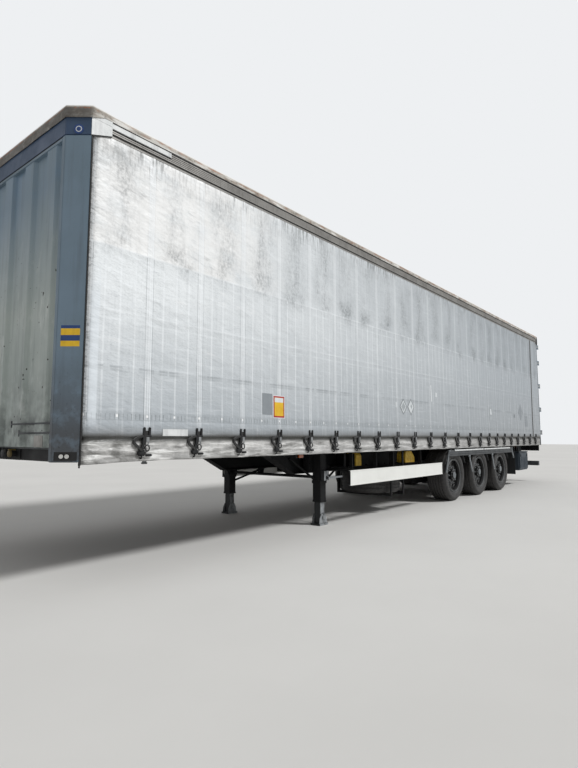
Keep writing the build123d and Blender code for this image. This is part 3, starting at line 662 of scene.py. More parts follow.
    # relief: threads, clouds, creases, crumples forward and rolls in the band
    rough = add(tree, "ShaderNodeMapRange", {0: inBand, 3: 0.46, 4: 0.3})[0]
    creases = add(tree, "ShaderNodeTexNoise", {"Vector": place, "Scale": 14.0, "Detail": 5.0})[0]
    crumple = blotches(tree, slanted, 0.16, 0.3, 0.75, 3.5, (0.6, 1, 1.4), 3)
    inRolls = add(tree, "ShaderNodeMath", {0: rolls, 1: inBand}, operation="MULTIPLY")[0]
    height = cloud
    for relief, share in ((fade["thread"], 0.4), (creases, 0.4), (crumple, bright), (inRolls, 2.0)):
        height = add(tree, "ShaderNodeMath", {0: relief, 1: share, 2: height}, operation="MULTIPLY_ADD")[0]
    return closeMaterial(material, {"Base Color": colour, "Roughness": rough, "IOR": 1.52}, height, 0.002)


def roofFabric():
    # white roof PVC, stained brown and green where water and leaves lie along its edge
    material, tree, place = startMaterial("roofPvc")
    axes = add(tree, "ShaderNodeSeparateXYZ", {0: place})
    x, z = axes["X"], axes["Z"]
    cloud = blotches(tree, place, 0.35, 0.35, 0.65, detail=7)
    colour = layer(tree, toLinear("#CFCCC5"), "#ABA69D", cloud)
    pooled = add(tree, "ShaderNodeMapRange", {0: z, 1: 3.997, 2: 3.98})[0]
    skirt = add(tree, "ShaderNodeMapRange", {0: z, 1: 3.979, 2: 3.972, 3: 0.25, 4: 1.0})[0]
    # painted shade: the skirt across the front is darker
    shadedFront = add(tree, "ShaderNodeMapRange", {0: x, 1: 6.7, 2: 6.75})[0]
    colour = stain(tree, place, colour, (
        ("#8F8A80", (pooled,), 0.25, 0.4, 0.65, 0.5, even, 8),
        ("#857B70", (skirt,), 0.12, 0.42, 0.6, 0.8, (1, 1, 2), 8),
        ("#8A6650", (skirt,), 0.06, 0.54, 0.64, 0.6, (0.5, 1, 1), 6),
        ("#454138", (skirt,), 0.03, 0.58, 0.68, 0.75, even, 4),
        ("#E9E8E4", (skirt,), 0.09, 0.5, 0.64, 0.8, (0.3, 1, 2), 6),
        ("#524E49", (shadedFront, skirt), 0.15, 0.15, 0.45, 0.88, even, 7),
        ("#9A5E3A", (between(tree, z, 3.968, 3.978, 0.006),), 0.05, 0.45, 0.6, 0.75, (0.25, 1, 1), 5),
    ))
    # painted highlight along the top edge
    colour = layer(tree, colour, "#F0EFEC", between(tree, z, 3.988, 4.001, 0.005), 0.7)
    rough = add(tree, "ShaderNodeMapRange", {0: cloud, 3: 0.45, 4: 0.7})[0]
    return closeMaterial(material, {"Base Color": colour, "Roughness": rough, "IOR": 1.52}, cloud, 0.004)


def wallPaint():
    # pale coil-coated wall sheet: greenish road film low down, painted sky-lit shade above, scuffs and dark
    # drips
    material, tree, place = startMaterial("wallSheet")
    z = add(tree, "ShaderNodeSeparateXYZ", {0: place})["Z"]
    upper, low, foot = [add(tree, "ShaderNodeMapRange", {0: z, 1: start, 2: stop})[0]
                        for start, stop in ((2.3, 3.4), (3.1, 2.4), (1.8, 1.25))]
    # painted shade: darker and bluer towards the top
    colour = layer(tree, toLinear("#AFB8B4"), "#6A8298", upper)
    cloud = blotches(tree, place, 0.5, 0.35, 0.7, 0.4, detail=6)
    colour = layer(tree, colour, "#8C9795", cloud)
    colour = stain(tree, place, colour, (
        ("#5F6A6C", (), 0.05, 0.5, 0.68, 0.35, (1, 1, 0.05)),
        ("#C6CCC9", (low,), 0.09, 0.56, 0.68, 0.6, (1, 1, 0.35), 8),
        ("#2A2A28", (low,), 0.05, 0.72, 0.76, 1.0, even, 1),
        ("#4C514F", (foot,), 0.14, 0.35, 0.6, 0.7, even, 7),
    ))
    rough = add(tree, "ShaderNodeMapRange", {0: cloud, 2: 0.4, 3: 0.4, 4: 0.58})[0]
    return closeMaterial(material, {"Base Color": colour, "Roughness": rough, "IOR": 1.5}, cloud, 0.0012)


def floorPlywood():
    # phenolic-faced plywood: dark brown film, scratched pale along the length by pallets
    material, tree, place = startMaterial("floorPlywood")
    cloud = blotches(tree, place, 0.6, 0.35, 0.65, detail=6)
    colour = layer(tree, toLinear("#4A382B"), "#5F4B3A", cloud)
    scratches = blotches(tree, place, 0.02, 0.58, 0.7, 0.6, (0.03, 1, 1), 4)
    colour = layer(tree, colour, "#8C7860", scratches)
    x = add(tree, "ShaderNodeSeparateXYZ", {0: place})["X"]
    board = add(tree, "ShaderNodeMath", {0: x, 1: 0.625}, operation="PINGPONG")[0]  # boards 1250 mm wide
    seam = add(tree, "ShaderNodeMath", {0: board, 1: 0.0, 2: 0.004}, operation="COMPARE")[0]
    colour = layer(tree, colour, "#1B1512", seam)
    rough = add(tree, "ShaderNodeMapRange", {0: cloud, 3: 0.4, 4: 0.65})[0]
    height = add(tree, "ShaderNodeMath", {0: scratches, 1: seam}, operation="SUBTRACT")[0]
    return closeMaterial(material, {"Base Color": colour, "Roughness": rough, "IOR": 1.5}, height, 0.001)


def tyreRubber():
    # carbon-black rubber: dark grey, dusty grey-brown on the tread, with fine rings moulded in the wall
    material, tree, place = startMaterial("tyreRubber")
    radius = add(tree, "ShaderNodeSeparateXYZ", {0: add(tree, "ShaderNodeUVMap", uv_map="tread")[0]})["X"]
    onTread = add(tree, "ShaderNodeMapRange", {0: radius, 1: 0.45, 2: 0.47, 3: 0.2, 4: 0.45})[0]
    cloud = blotches(tree, place, 0.09, 0.3, 0.7, detail=6)
    colour = layer(tree, toLinear("#101214"), "#191B1D", cloud)
    colour = stain(tree, place, colour, (
        ("#6F6B68", (), 0.011, 0.5, 0.66, 0.45, even, 2),
        ("#4C4947", (onTread,), 0.025, 0.35, 0.65),
        ("#4E4C4B", (between(tree, radius, 0.392, 0.412, 0.01),), 0.2, 0.3, 0.7, 0.5),
    ))
    rings = add(tree, "ShaderNodeMath", {0: radius, 1: 0.006}, operation="PINGPONG")[0]
    height = add(tree, "ShaderNodeMath", {0: rings, 1: 60.0, 2: cloud}, operation="MULTIPLY_ADD")[0]
    rough = add(tree, "ShaderNodeMapRange", {0: cloud, 3: 0.55, 4: 0.78})[0]
    return closeMaterial(material, {"Base Color": colour, "Roughness": rough, "IOR": 1.52}, height, 0.0012)


def lensPlastic(name, hexColour):
    # moulded acrylic lens: saturated, clear-coated, with fine prisms under its face
    material, tree, place = startMaterial(name)
    prisms = add(tree, "ShaderNodeTexWave", {"Vector": place, "Scale": 60.0, "Distortion": 0.0})[1]
    dirty = blotches(tree, place, 0.05, 0.4, 0.75, 0.35)
    colour = layer(tree, toLinear(hexColour), "#5A4A42", dirty)
    rough = add(tree, "ShaderNodeMapRange", {0: dirty, 3: 0.15, 4: 0.5})[0]
    sockets = {"Base Color": colour, "Roughness": rough, "IOR": 1.49,
               "Coat Weight": 0.6, "Coat Roughness": 0.08}
    return closeMaterial(material, sockets, prisms, 0.0006)


def strapWebbing():
    # black woven polyester strap: a matt twill, drawn at 4 mm so that it shows
    material, tree, place = startMaterial("strapWebbing")
    weave = add(tree, "ShaderNodeTexWave", {"Vector": place, "Scale": 40.0, "Distortion": 1.0},
                bands_direction="DIAGONAL")[1]
    dirty = blotches(tree, place, 0.03, 0.35, 0.7)
    colour = layer(tree, toLinear("#0A0A0B"), "#1E1E1C", dirty)
    rough = add(tree, "ShaderNodeMapRange", {0: dirty, 3: 0.7, 4: 0.9})[0]
    sockets = {"Base Color": colour, "Roughness": rough, "IOR": 1.5, "Sheen Weight": 0.3}
    return closeMaterial(material, sockets, weave, 0.0008)


for make in (curtainFabric, roofFabric, wallPaint, floorPlywood, tyreRubber, strapWebbing):
    made = make()
    finish[made.name] = made
for name, hexColour in (("redLens", "#A01216"), ("amberLens", "#A04C10"), ("whiteLens", "#D8D8D4")):
    finish[name] = lensPlastic(name, hexColour)
print("materials made")


# Straps of the curtain: their places set the curtain's bays and the buckles

straps = {
    # first strap's x, distance to the next, how many: the curtain has slid together unevenly
    "groups": ((6.098, 0.6045, 4), (3.69, 0.555, 4), (1.445, 0.6007, 7), (-2.675, 0.509, 8)),
    "halfWidth": 0.0275,
}
strapXs = [first - pitch * i for first, pitch, count in straps["groups"] for i in range(count)]
sides = (("left", 1), ("right", -1))

curtain = {
    "frontX": 6.706, "rearX": -6.722,
    "topZ": 3.835, "hemZ": 0.975,
    "faceY": 1.267,      # outer face above the fold
    "bandY": 1.2465,     # outer face where the band lies on the rave
    "foldZ": 1.19,       # the fold at floor height
    "thick": 0.0016,
    "strapRelief": 0.0014, "strapFoot": 1.2,
    "weldHeights": (2.83, 2.27, 1.79), "weldRelief": 0.0004,
    "slack": 0.0045,     # how far a bay bellies out between two straps
    "bandSlack": 0.012,  # the same in the band below the fold
    "tuck": 0.012,       # how far its edges turn in
    "stepsInBay": 9,
    "lowStep": 0.012, "highStep": 0.052,
}
knots = [curtain["frontX"]] + strapXs + [curtain["rearX"]]  # where one bay ends and the next begins


def curtainColumns():
    # (x, bay coordinate, 1 on a strap): the bay coordinate is whole at a strap
    columns = []
    half = straps["halfWidth"]
    for i in range(len(knots) - 1):
        ahead, behind = knots[i], knots[i + 1]
        start = ahead - half if i else ahead
        stop = behind + half if i < len(knots) - 2 else behind
        if i:
            for edge, raised in ((half, 0), (half, 1), (-half, 1), (-half, 0)):
                across = edge + math.copysign(0.002, edge) * (1 - 2 * raised)
                columns.append((ahead + across, i - across / (knots[i - 1] - ahead), raised))
        for step in range(curtain["stepsInBay"]):
            share = (step + (0.5 if i else 0)) / curtain["stepsInBay"]
            x = start + (stop - start) * share
            columns.append((x, i + (ahead - x) / (ahead - behind), 0))
    columns.append((curtain["rearX"], len(knots) - 1, 0))
    return sorted(columns, reverse=True)


def curtainRows():
    rows = []
    z = curtain["hemZ"]
    while z < curtain["foldZ"] + 0.08:
        rows.append(z)
        z += curtain["lowStep"]
    while z < curtain["topZ"] - curtain["highStep"] / 2:
        if all(abs(z - weld) > 0.02 for weld in curtain["weldHeights"]):
            rows.append(z)
        z += curtain["highStep"]
    for weld in curtain["weldHeights"]:
        rows += [weld - 0.009, weld - 0.006, weld + 0.006, weld + 0.009]
    return sorted(rows) + [curtain["topZ"]]


def smooth(value, low, high):
    share = min(max((value - low) / (high - low), 0.0), 1.0)
    return share * share * (3 - 2 * share)


def curtainPoint(x, bay, raised, z, side):
    # one point of the hung curtain: fold, belly, wrinkles and welds
    belly = math.sin(math.pi * (bay % 1.0)) ** 2
    above = smooth(z, curtain["foldZ"] - 0.022, curtain["foldZ"] + 0.006)
    y = curtain["bandY"] + (curtain["faceY"] - curtain["bandY"]) * above
    y -= 0.006 * smooth(z, curtain["foldZ"] + 0.02, curtain["foldZ"] + 0.6) * above
    high = smooth(curtain["topZ"] - z, 0.0, 0.5) * above
    y += curtain["slack"] * belly * high * (0.5 + noise.noise(Vector((bay * 0.8, z * 0.7, side))))
    y += 0.003 * high * noise.noise(Vector((x * 0.45, z * 0.6, 3 + side)))
    y += 0.0014 * high * noise.noise(Vector((x * 3.1, z * 1.7, 7 + side)))
    band = 1 - above
    roll = smooth(z, 0.97, 1.11) * (1 - smooth(z, 1.12, 1.185))
    pinch = noise.noise(Vector((x * 9.0, z * 6.0, 11 + side)))
    fold = math.sin(82 * (z - curtain["hemZ"]) + 5 * noise.noise(Vector((bay * 0.9, z * 2.0, 17 + side))))
    y += band * (roll * (0.004 + curtain["bandSlack"] * belly) + 0.0035 * (pinch + 0.6) * belly ** 0.5)
    y += band * 0.0028 * (fold + 1) * belly ** 0.5
    corner = smooth(x, 6.15, 6.62) * smooth(1.5 - z, 0.1, 0.4)
    sway = 4 * noise.noise(Vector((x * 4, z * 4, side)))
    ripple = math.sin(62 * (z - 0.55 * (curtain["frontX"] - x)) + sway)
    y += 0.005 * corner * (ripple + 0.8)
    edge = smooth(x, curtain["frontX"] - 0.03, curtain["frontX"]) + smooth(-x, 6.69, 6.722)
    edge += 0.7 * smooth(z, curtain["topZ"] - 0.06, curtain["topZ"])
    y -= curtain["tuck"] * edge * edge
    if raised and z > curtain["strapFoot"]:
        y += curtain["strapRelief"]
    if any(abs(z - weld) < 0.007 for weld in curtain["weldHeights"]):
        y += curtain["weldRelief"]
    atHem = smooth(1.05 - z, 0.0, 0.075)
    return x, side * y, z + (0.003 * belly - 0.012 * corner) * atHem


def makeCurtain(name, side):
    columns, rows = curtainColumns(), curtainRows()
    verts = [curtainPoint(x, bay, raised, z, side) for x, bay, raised in columns for z in rows]
    bays = [(bay, z) for x, bay, raised in columns for z in rows]
    high = len(rows)
    faces = []
    for i in range(len(columns) - 1):
        for j in range(high - 1):
            a = i * high + j
            ring = (a, a + high, a + high + 1, a + 1)
            faces.append(ring if side > 0 else ring[::-1])
    piece = meshPiece(name, verts, faces, finish["curtainPvc"], 180)
    layers = piece.data.uv_layers.new(name="bays")
    for loop in piece.data.loops:
        layers.data[loop.index].uv = bays[loop.vertex_index]
    shell = piece.modifiers.new("cloth thickness", "SOLIDIFY")
    shell.thickness = curtain["thick"]
    shell.offset = -1
    return piece


for name, side in sides:
    sheet = makeCurtain(f"side_curtain_{name}", side)
    dress(sheet, "trailer", "curtain_pvc", f"curtain_{name}")
print("curtains hung")


# Signs, patches and plates on the curtain: thin sheets that follow it. All are blank

def bayAt(x):
    for i in range(len(knots) - 1):
        if x >= knots[i + 1]:
            return i + (knots[i] - x) / (knots[i] - knots[i + 1])
    return len(knots) - 1.0


markThickness = 0.0012
curtainMarks = {
    # name: finish, corners in x and z, and how far it stands out from the curtain
    "side_plate_edge": ("patchPale", ((4.398, 1.402), (4.188, 1.402), (4.188, 1.668), (4.398, 1.668)), 0.001),
    "side_plate_rim": ("signRed", ((4.388, 1.412), (4.198, 1.412), (4.198, 1.658), (4.388, 1.658)), 0.0016),
    "side_plate_face": ("signYellow", ((4.372, 1.43), (4.214, 1.43), (4.214, 1.642), (4.372, 1.642)), 0.0022),
    "side_plate_band": ("patchPale", ((4.37, 1.588), (4.216, 1.588), (4.216, 1.64), (4.37, 1.64)), 0.0028),
    "repair_patch_grey": ("patchDark", ((4.577, 1.44), (4.41, 1.44), (4.41, 1.68), (4.577, 1.68)), 0.0008),
    "blank_plate": ("trimEnamel", ((5.928, 1.197), (5.634, 1.197), (5.634, 1.26), (5.928, 1.26)), 0.003),
    "diamond_rim_front": ("patchWorn", ((1.24, 1.545), (1.12, 1.675), (1.24, 1.805), (1.36, 1.675)), 0.0008),
    "diamond_patch_front": (
        "patchPale", ((1.24, 1.57), (1.142, 1.675), (1.24, 1.78), (1.338, 1.675)), 0.0014),
    "diamond_core_front": ("patchGrey", ((1.24, 1.6), (1.17, 1.675), (1.24, 1.75), (1.31, 1.675)), 0.002),
    "diamond_rim_rear": ("patchWorn", ((0.98, 1.54), (0.86, 1.68), (0.98, 1.82), (1.1, 1.68)), 0.0008),
    "diamond_patch_rear": ("patchPale", ((0.98, 1.565), (0.882, 1.68), (0.98, 1.795), (1.078, 1.68)), 0.0014),
    "diamond_core_rear": ("patchGrey", ((0.96, 1.65), (0.925, 1.69), (0.96, 1.73), (0.995, 1.69)), 0.002),
    "pale_dash": ("patchPale", ((1.495, 1.655), (1.445, 1.655), (1.445, 1.735), (1.495, 1.735)), 0.001),
    "pale_stroke": ("patchPale", ((0.2, 1.81), (0.155, 1.81), (0.175, 2.1), (0.215, 2.1)), 0.001),
    "pale_spot": ("patchPale", ((0.02, 1.9), (-0.05, 1.9), (-0.05, 1.98), (0.02, 1.98)), 0.001),
    "faded_diamond": ("patchDark", ((-4.98, 1.6), (-5.16, 1.81), (-4.98, 2.02), (-4.8, 1.81)), 0.001),
    "faded_plate": ("patchDark", ((-5.31, 1.46), (-5.53, 1.46), (-5.53, 1.73), (-5.31, 1.73)), 0.001),
    "scuffed_plate": ("patchGrey", ((-2.72, 1.55), (-2.94, 1.55), (-2.94, 1.84), (-2.72, 1.84)), 0.001),
    "scuffed_core": ("patchPale", ((-2.78, 1.68), (-2.88, 1.68), (-2.84, 1.8), (-2.78, 1.8)), 0.0016),
    "dark_spot": ("patchWorn", ((-4.42, 1.66), (-4.52, 1.66), (-4.52, 1.74), (-4.42, 1.74)), 0.001),
    "rear_weld_strip": ("strapWebbing", ((-5.96, 1.2), (-6.035, 1.2), (-6.115, 3.79), (-6.04, 3.79)), 0.002),
}


def addMark(bm, corners, out, side, steps):
    # a four-cornered sheet divided into steps, laid on the curtain
    rows = []
    for i in range(steps[1] + 1):
        v = i / steps[1]
        row = []
        for j in range(steps[0] + 1):
            u = j / steps[0]
            x, z = [corners[0][k] * (1 - u) * (1 - v) + corners[1][k] * u * (1 - v)
                    + corners[2][k] * u * v + corners[3][k] * (1 - u) * v for k in (0, 1)]
            lie = Vector(curtainPoint(x, bayAt(x), 1, z, side))
            row.append([bm.verts.new(lie + Vector((0, side * d, 0))) for d in (out, out - markThickness)])
        rows.append(row)
    for i in range(steps[1]):
        for j in range(steps[0]):
            for k in (0, 1):
                bm.faces.new((rows[i][j][k], rows[i][j + 1][k], rows[i + 1][j + 1][k], rows[i + 1][j][k]))
    rim = [rows[0][j] for j in range(steps[0])] + [rows[i][-1] for i in range(steps[1])]
    rim += [rows[-1][j] for j in range(steps[0], 0, -1)] + [rows[i][0] for i in range(steps[1], 0, -1)]
    for a, b in zip(rim, rim[1:] + rim[:1]):
        bm.faces.new((a[0], b[0], b[1], a[1]))


for name, (finishName, corners, out) in curtainMarks.items():
    bm = bmesh.new()
    tall = corners[2][1] - corners[0][1] > 1  # a strip over the whole height, on both sides
    for side in (1, -1) if tall else (1,):
        addMark(bm, corners, out, side, (2, 40) if tall else (8, 8))
    fasten(name, bm, finishName, "curtain_pvc", angle=60)
print("curtain marks laid")


# Buckles: each strap ends in prongs, a lever with its hook, and a tail that bows forward

buckle = {
    "prongZ": (1.198, 1.274), "prongXs": (-0.028, 0.028), "prongHalf": 0.0125,
    "faceY": (1.268, 1.28),
    "lever": ((0.014, 1.2), (0.044, 1.2), (0.064, 1.045), (0.036, 1.045)),
    "tail": ((0.04, 1.196), (0.085, 1.186), (0.122, 1.165), (0.13, 1.138), (0.104, 1.112), (0.075, 1.09),
             (0.05, 1.066)),
    "tailHalf": 0.0095, "tailWidth": 0.012,
    "clampX": (0.004, 0.096), "clampZ": (1.02, 1.074),
    "loopAt": (-0.006, 1.09), "loopRadius": 0.023,
}


def buckleParts():
    # steel, strap and zinc parts of one buckle, at x 0 on the left side
    nearY, farY = buckle["faceY"]
    steel = bmesh.new()
    half = buckle["prongHalf"]
    for x in buckle["prongXs"]:
        addBlock(steel, (x - half, x + half), (nearY, farY), buckle["prongZ"], 0.004)
    addRod(steel, (-0.044, 1.273, 1.196), (0.046, 1.273, 1.196), 0.008, 10)
    addPlate(steel, buckle["lever"], nearY - 0.002, farY)
    leverTop = [(x - 0.003, z) for x, z in buckle["lever"][:2]]
    addPlate(steel, leverTop + [(0.05, 1.12), (0.016, 1.12)], farY, farY + 0.004)
    addBlock(steel, buckle["clampX"], (1.252, 1.283), buckle["clampZ"], 0.014, 3)
    addBlock(steel, (-0.064, 0.01), (1.256, 1.276), (1.016, 1.038), 0.007)
    x, z = buckle["loopAt"]
    r = buckle["loopRadius"]
    angles = [math.tau * i / 12 for i in range(13)]
    ring = [(x + r * math.sin(angle), 1.272, z + 1.2 * r * math.cos(angle)) for angle in angles]
    addTube(steel, ring, 0.0065, 6)
    hook = [(0.05, 1.27, 1.03), (0.05, 1.27, 1.006), (0.05, 1.262, 1.0), (0.05, 1.25, 1.002)]
    addTube(steel, smoothPath(hook, 3), 0.007, 6)
    tail = bmesh.new()
    route = [(x, 1.271, z) for x, z in buckle["tail"]]
    addTube(tail, smoothPath(route, 3), buckle["tailHalf"], flat=buckle["tailWidth"])
    addBlock(tail, (-0.024, 0.026), (1.2665, 1.2695), (1.2, 1.245), 0.001)
    zinc = bmesh.new()
    addBlock(zinc, (-0.022, 0.014), (farY - 0.004, farY + 0.003), (1.142, 1.188), 0.006)
    addRod(zinc, (-0.016, 1.277, 1.14), (-0.01, 1.277, 1.112), 0.006, 8)
    return {"steel": (steel, "buckleSteel"), "tails": (tail, "strapWebbing"), "catches": (zinc, "zincSteel")}


for kind, nodes in (("steel", ["curtain_buckles"]), ("tails", []), ("catches", [])):
    rows = []
    for first, pitch, count in straps["groups"]:
        bm, finishName = buckleParts()[kind]
        bmesh.ops.translate(bm, verts=bm.verts, vec=(first, 0, 0))
        rows.append(repeatPart("buckle row", bm, "row", finishName, Count=count, Step=(-pitch, 0.0, 0.0)))
    joinSides(f"buckle_{kind}", rows, finishName, "chassis_steel", *nodes)
print("buckles fastened")


# Roof tarpaulin

roof = {
    "rearX": -6.787, "cornerX": 6.733, "frontX": 6.879,
    "sideY": 1.266, "cornerY": 1.277, "frontY": 1.1045,
    "topZ": 4.0, "skirt": 0.064, "endSkirt": 0.112, "sidesX": (-6.7, 6.728),
    "bowPitch": 0.62, "bowCount": 21, "sag": 0.02,
    "stepsBetweenBows": 6, "across": 28,
    # rings of the skirt: share of its fall, how far it stands out
    "skirtRings": ((0.07, 0.003), (0.25, 0.006), (0.6, 0.007), (1.0, 0.006), (1.0, 0.001)),
}


def roofHalfWidth(x):
    if x > roof["cornerX"]:
        share = (x - roof["cornerX"]) / (roof["frontX"] - roof["cornerX"])
        return roof["cornerY"] + (roof["frontY"] - roof["cornerY"]) * share
    return roof["sideY"] + (roof["cornerY"] - roof["sideY"]) * smooth(x, 6.45, 6.7)


def makeRoof():
    firstBow = -roof["bowPitch"] * (roof["bowCount"] - 1) / 2
    step = roof["bowPitch"] / roof["stepsBetweenBows"]
    xs = [firstBow + step * i for i in range(-5, roof["stepsBetweenBows"] * (roof["bowCount"] - 1) + 6)]
    xs = [roof["rearX"], roof["rearX"] + 0.05] + [x for x in xs if roof["rearX"] + 0.08 < x < 6.7]
    xs += [roof["cornerX"], 6.78, 6.83, roof["frontX"]]
    wide = roof["across"]
    verts = []
    for x in xs:
        half = roofHalfWidth(x)
        fromBow = math.sin(math.pi * (x - firstBow) / roof["bowPitch"]) ** 2
        for j in range(wide + 1):
            t = 2 * j / wide - 1
            t = math.copysign(abs(t) ** 0.85, t)
            inner = (1 - t ** 6) * smooth(6.7 - x, 0, 0.4) * smooth(x - roof["rearX"], 0, 0.2)
            z = roof["topZ"] - roof["sag"] * fromBow * inner
            z += 0.003 * inner * noise.noise(Vector((x * 2, t * 3, 1)))
            verts.append((x, half * t, z - 0.004 * (1 - inner)))
    faces = []
    for i in range(len(xs) - 1):
        for j in range(wide):
            a = i * (wide + 1) + j
            faces.append((a, a + wide + 1, a + wide + 2, a + 1))
    last = (len(xs) - 1) * (wide + 1)
    rim = [i * (wide + 1) for i in range(len(xs))]
    rim += [last + j for j in range(1, wide + 1)]
    rim += [i * (wide + 1) + wide for i in range(len(xs) - 2, -1, -1)]
    rim += list(range(wide - 1, 0, -1))
    outwards = []
    for k in range(len(rim)):
        ahead = Vector(verts[rim[(k + 1) % len(rim)]]) - Vector(verts[rim[k - 1]])
        outwards.append(Vector((ahead.y, -ahead.x, 0)).normalized())
    above = rim
    rearEnd, frontEnd = roof["sidesX"]
    for share, out in roof["skirtRings"]:
        ring = []
        for k, index in enumerate(rim):
            x, y, top = verts[index]
            fall = roof["skirt"] if rearEnd <= x <= frontEnd else roof["endSkirt"]
            z = roof["topZ"] - share * fall
            lumpy = 0.003 * noise.noise(Vector((x * 5, y * 5, z * 12)))
            drop = 0.004 * noise.noise(Vector((x * 3, y * 3, 5))) if share == 1 else 0
            verts.append((x + outwards[k].x * (out + lumpy), y + outwards[k].y * (out + lumpy), z + drop))
            ring.append(len(verts) - 1)
        for k in range(len(rim)):
            n = (k + 1) % len(rim)
            faces.append((above[n], above[k], ring[k], ring[n]))
        above = ring
    return fasten("roof_cover", loosen(verts, faces), "roofPvc", "roof_pvc", "roof_tarpaulin", angle=50)


roofCover = makeRoof()
print("roof covered")


# Trim of the rails, the header, the posts and the front wall

trim = {
    "faceY": 1.2665,
    # the rail's end cap from the side: x, z
    "capOutline": ((6.733, 3.737), (6.54, 3.806), (6.54, 3.94), (6.733, 3.94)), "ledgeZ": 3.888,
    # a dark plate under the cap, the painted shadow line of the curtain's top edge
    "capSeam": ((6.736, 3.727), (6.54, 3.796), (6.54, 3.806), (6.736, 3.737)),
    "stripX": (5.9, 6.545), "stripZ": (3.877, 3.925),
    "railX": (-6.68, 6.54), "railZ": (3.832, 3.922), "ribs": 5,
    # painted shadow lines under the skirt, white strip and rail, and a dark rear corner block: x, y, z, bevel
    "edging": (((5.9, 6.545), (1.256, 1.2715), (3.868, 3.877), 0.001),
               ((-6.68, 6.545), (1.25, 1.271), (3.822, 3.832), 0.003),
               ((-6.68, 6.733), (1.25, 1.27), (3.922, 3.938), 0.001),
               ((-6.79, -6.66), (1.24, 1.275), (3.78, 3.93), 0.012)),
    # tubes that hold the curtain's ends: x, y, foot, top; then the loose end of a strap at the front
    "tubes": ((6.7185, 1.256, 0.96, 3.735), (-6.7285, 1.248, 0.98, 3.79)),
    "strapEnd": ((6.724, 1.262, 1.03), (6.727, 1.266, 0.99), (6.726, 1.268, 0.94)),
    "rearCorner": (-6.72, 3.78, 3.93), "footPlateZ": (0.998, 1.068),
    "headY": 1.05,
    # the cut-off corner seen from above: where it leaves the side, and where it meets the front
    "cutRear": (6.731, 1.275), "cutFront": (6.875, 1.102),
    "badgeZ": 3.784, "badgeRadius": 0.043, "lampZ": 1.033, "lampShares": (0.42, 0.62),
    "blueStripes": ((1.966, 2.013), (2.068, 2.094)), "yellowStripes": ((1.92, 1.966), (2.013, 2.068)),
}


def cutFace(z):
    # both edges of the cut-off corner at height z, and the way out of its face
    rearEdge, frontEdge = Vector((*trim["cutRear"], z)), Vector((*trim["cutFront"], z))
    outward = Vector((rearEdge.y - frontEdge.y, frontEdge.x - rearEdge.x, 0)).normalized()
    return rearEdge, frontEdge, outward


def addCutDisc(bm, z, radius, thick, out, share=0.5, sides=40):
    # a disc that starts out metres off the cut-off face, share of the way to its front edge
    rearEdge, frontEdge, outward = cutFace(z)
    centre = rearEdge + (frontEdge - rearEdge) * share + outward * out
    addRod(bm, centre, centre + outward * thick, radius, sides)


def addCutPlate(bm, low, high, inset, proud, thick):
    # a plate in the cut-off face of the corner post, its face proud metres off it
    rearEdge, frontEdge, outward = cutFace(0)
    along = (frontEdge - rearEdge).normalized() * inset
    face, back = outward * proud, outward * (proud - thick)
    start, stop = rearEdge + along, frontEdge - along
    corners = [start + face, stop + face, stop + back, start + back]
    addPlate(bm, [(c.x, c.y) for c in corners], low, high, "Z")


def makeTrim():
    faceY = trim["faceY"]
    capRear, capFront = trim["capOutline"][1][0], trim["capOutline"][0][0]
    capTop = trim["capOutline"][2][1]
    white = bmesh.new()
    addPlate(white, trim["capOutline"], 1.245, faceY + 0.006)
    addBlock(white, (capRear, capFront), (1.245, faceY + 0.008), (trim["ledgeZ"], capTop), 0.004)
    addBlock(white, trim["stripX"], (faceY - 0.004, faceY + 0.007), trim["stripZ"], 0.003)
    fasten("rail_end_caps", white, "trimEnamel", "roof_aluminium", twin=True)
    rail = bmesh.new()
    low, high = trim["railZ"]
    pitch = (high - low) / trim["ribs"]
    for i in range(trim["ribs"]):
        z = low + pitch * i
        out = 0.0035 if i in (0, trim["ribs"] - 1) else 0.002
        addBlock(rail, trim["railX"], (1.256, faceY + out), (z, z + pitch * 0.7), 0.0015, 1)
    fasten("rail_ribs", rail, "railAluminium", "roof_aluminium", twin=True)
    # dark parts, among them the painted shadow lines along the rail and under the cap
    dark = bmesh.new()
    for row in trim["edging"]:
        addBlock(dark, *row)
    for x, y, foot, top in trim["tubes"]:
        addRod(dark, (x, y, foot), (x, y, top), 0.0105, 12)
    addPlate(dark, trim["capSeam"], 1.25, 1.2695)
    x, *zs = trim["rearCorner"]
    for z in zs:
        addRod(dark, (x, 1.24, z), (x, 1.278, z), 0.03, 12)
    addTube(dark, trim["strapEnd"], 0.007, 8)
    addCutPlate(dark, *trim["footPlateZ"], 0.02, 0.0005, 0.016)
    mirrorSides(dark)
    headYs = (-trim["headY"], trim["headY"])
    addBlock(dark, (6.79, 6.8745), headYs, (3.728, 3.736), 0.002)
    fasten("tension_tubes_and_shadow_lines", dark, "bellowsRubber", "chassis_steel")
    head = bmesh.new()
    addBlock(head, (6.835, 6.8725), headYs, (3.7, 3.729), 0.003)
    fasten("wall_head_angle", head, "postPaint", "post_steel")


def makeBadges():
    # blank badges: a ring with its centre on the header, and bare stripes on the post
    z, radius = trim["badgeZ"], trim["badgeRadius"]
    for name, finishName, disc, stripes in (
            ("post_badges", "signBlue", (radius, 0.004), trim["blueStripes"]),
            ("post_stickers", "signYellow", None, trim["yellowStripes"]),
            ("badge_rings", "patchPale", (radius * 0.62, 0.0046), ()),
            ("badge_centres", "signBlue", (radius * 0.45, 0.0052), ())):
        bm = bmesh.new()
        if disc:
            addCutDisc(bm, z, *disc, -0.001)
        for low, high in stripes:
            addCutPlate(bm, low, high, 0.035, 0.0005, 0.002)
        fasten(name, bm, finishName, "post_steel", angle=30, twin=True)
    lamps = bmesh.new()
    for share in trim["lampShares"]:
        addCutDisc(lamps, trim["lampZ"], 0.017, 0.006, 0.014, share, 16)
    fasten("post_marker_lamps", lamps, "whiteLens", "lamp_red", twin=True)


makeTrim()
makeBadges()


# Fittings of the front wall

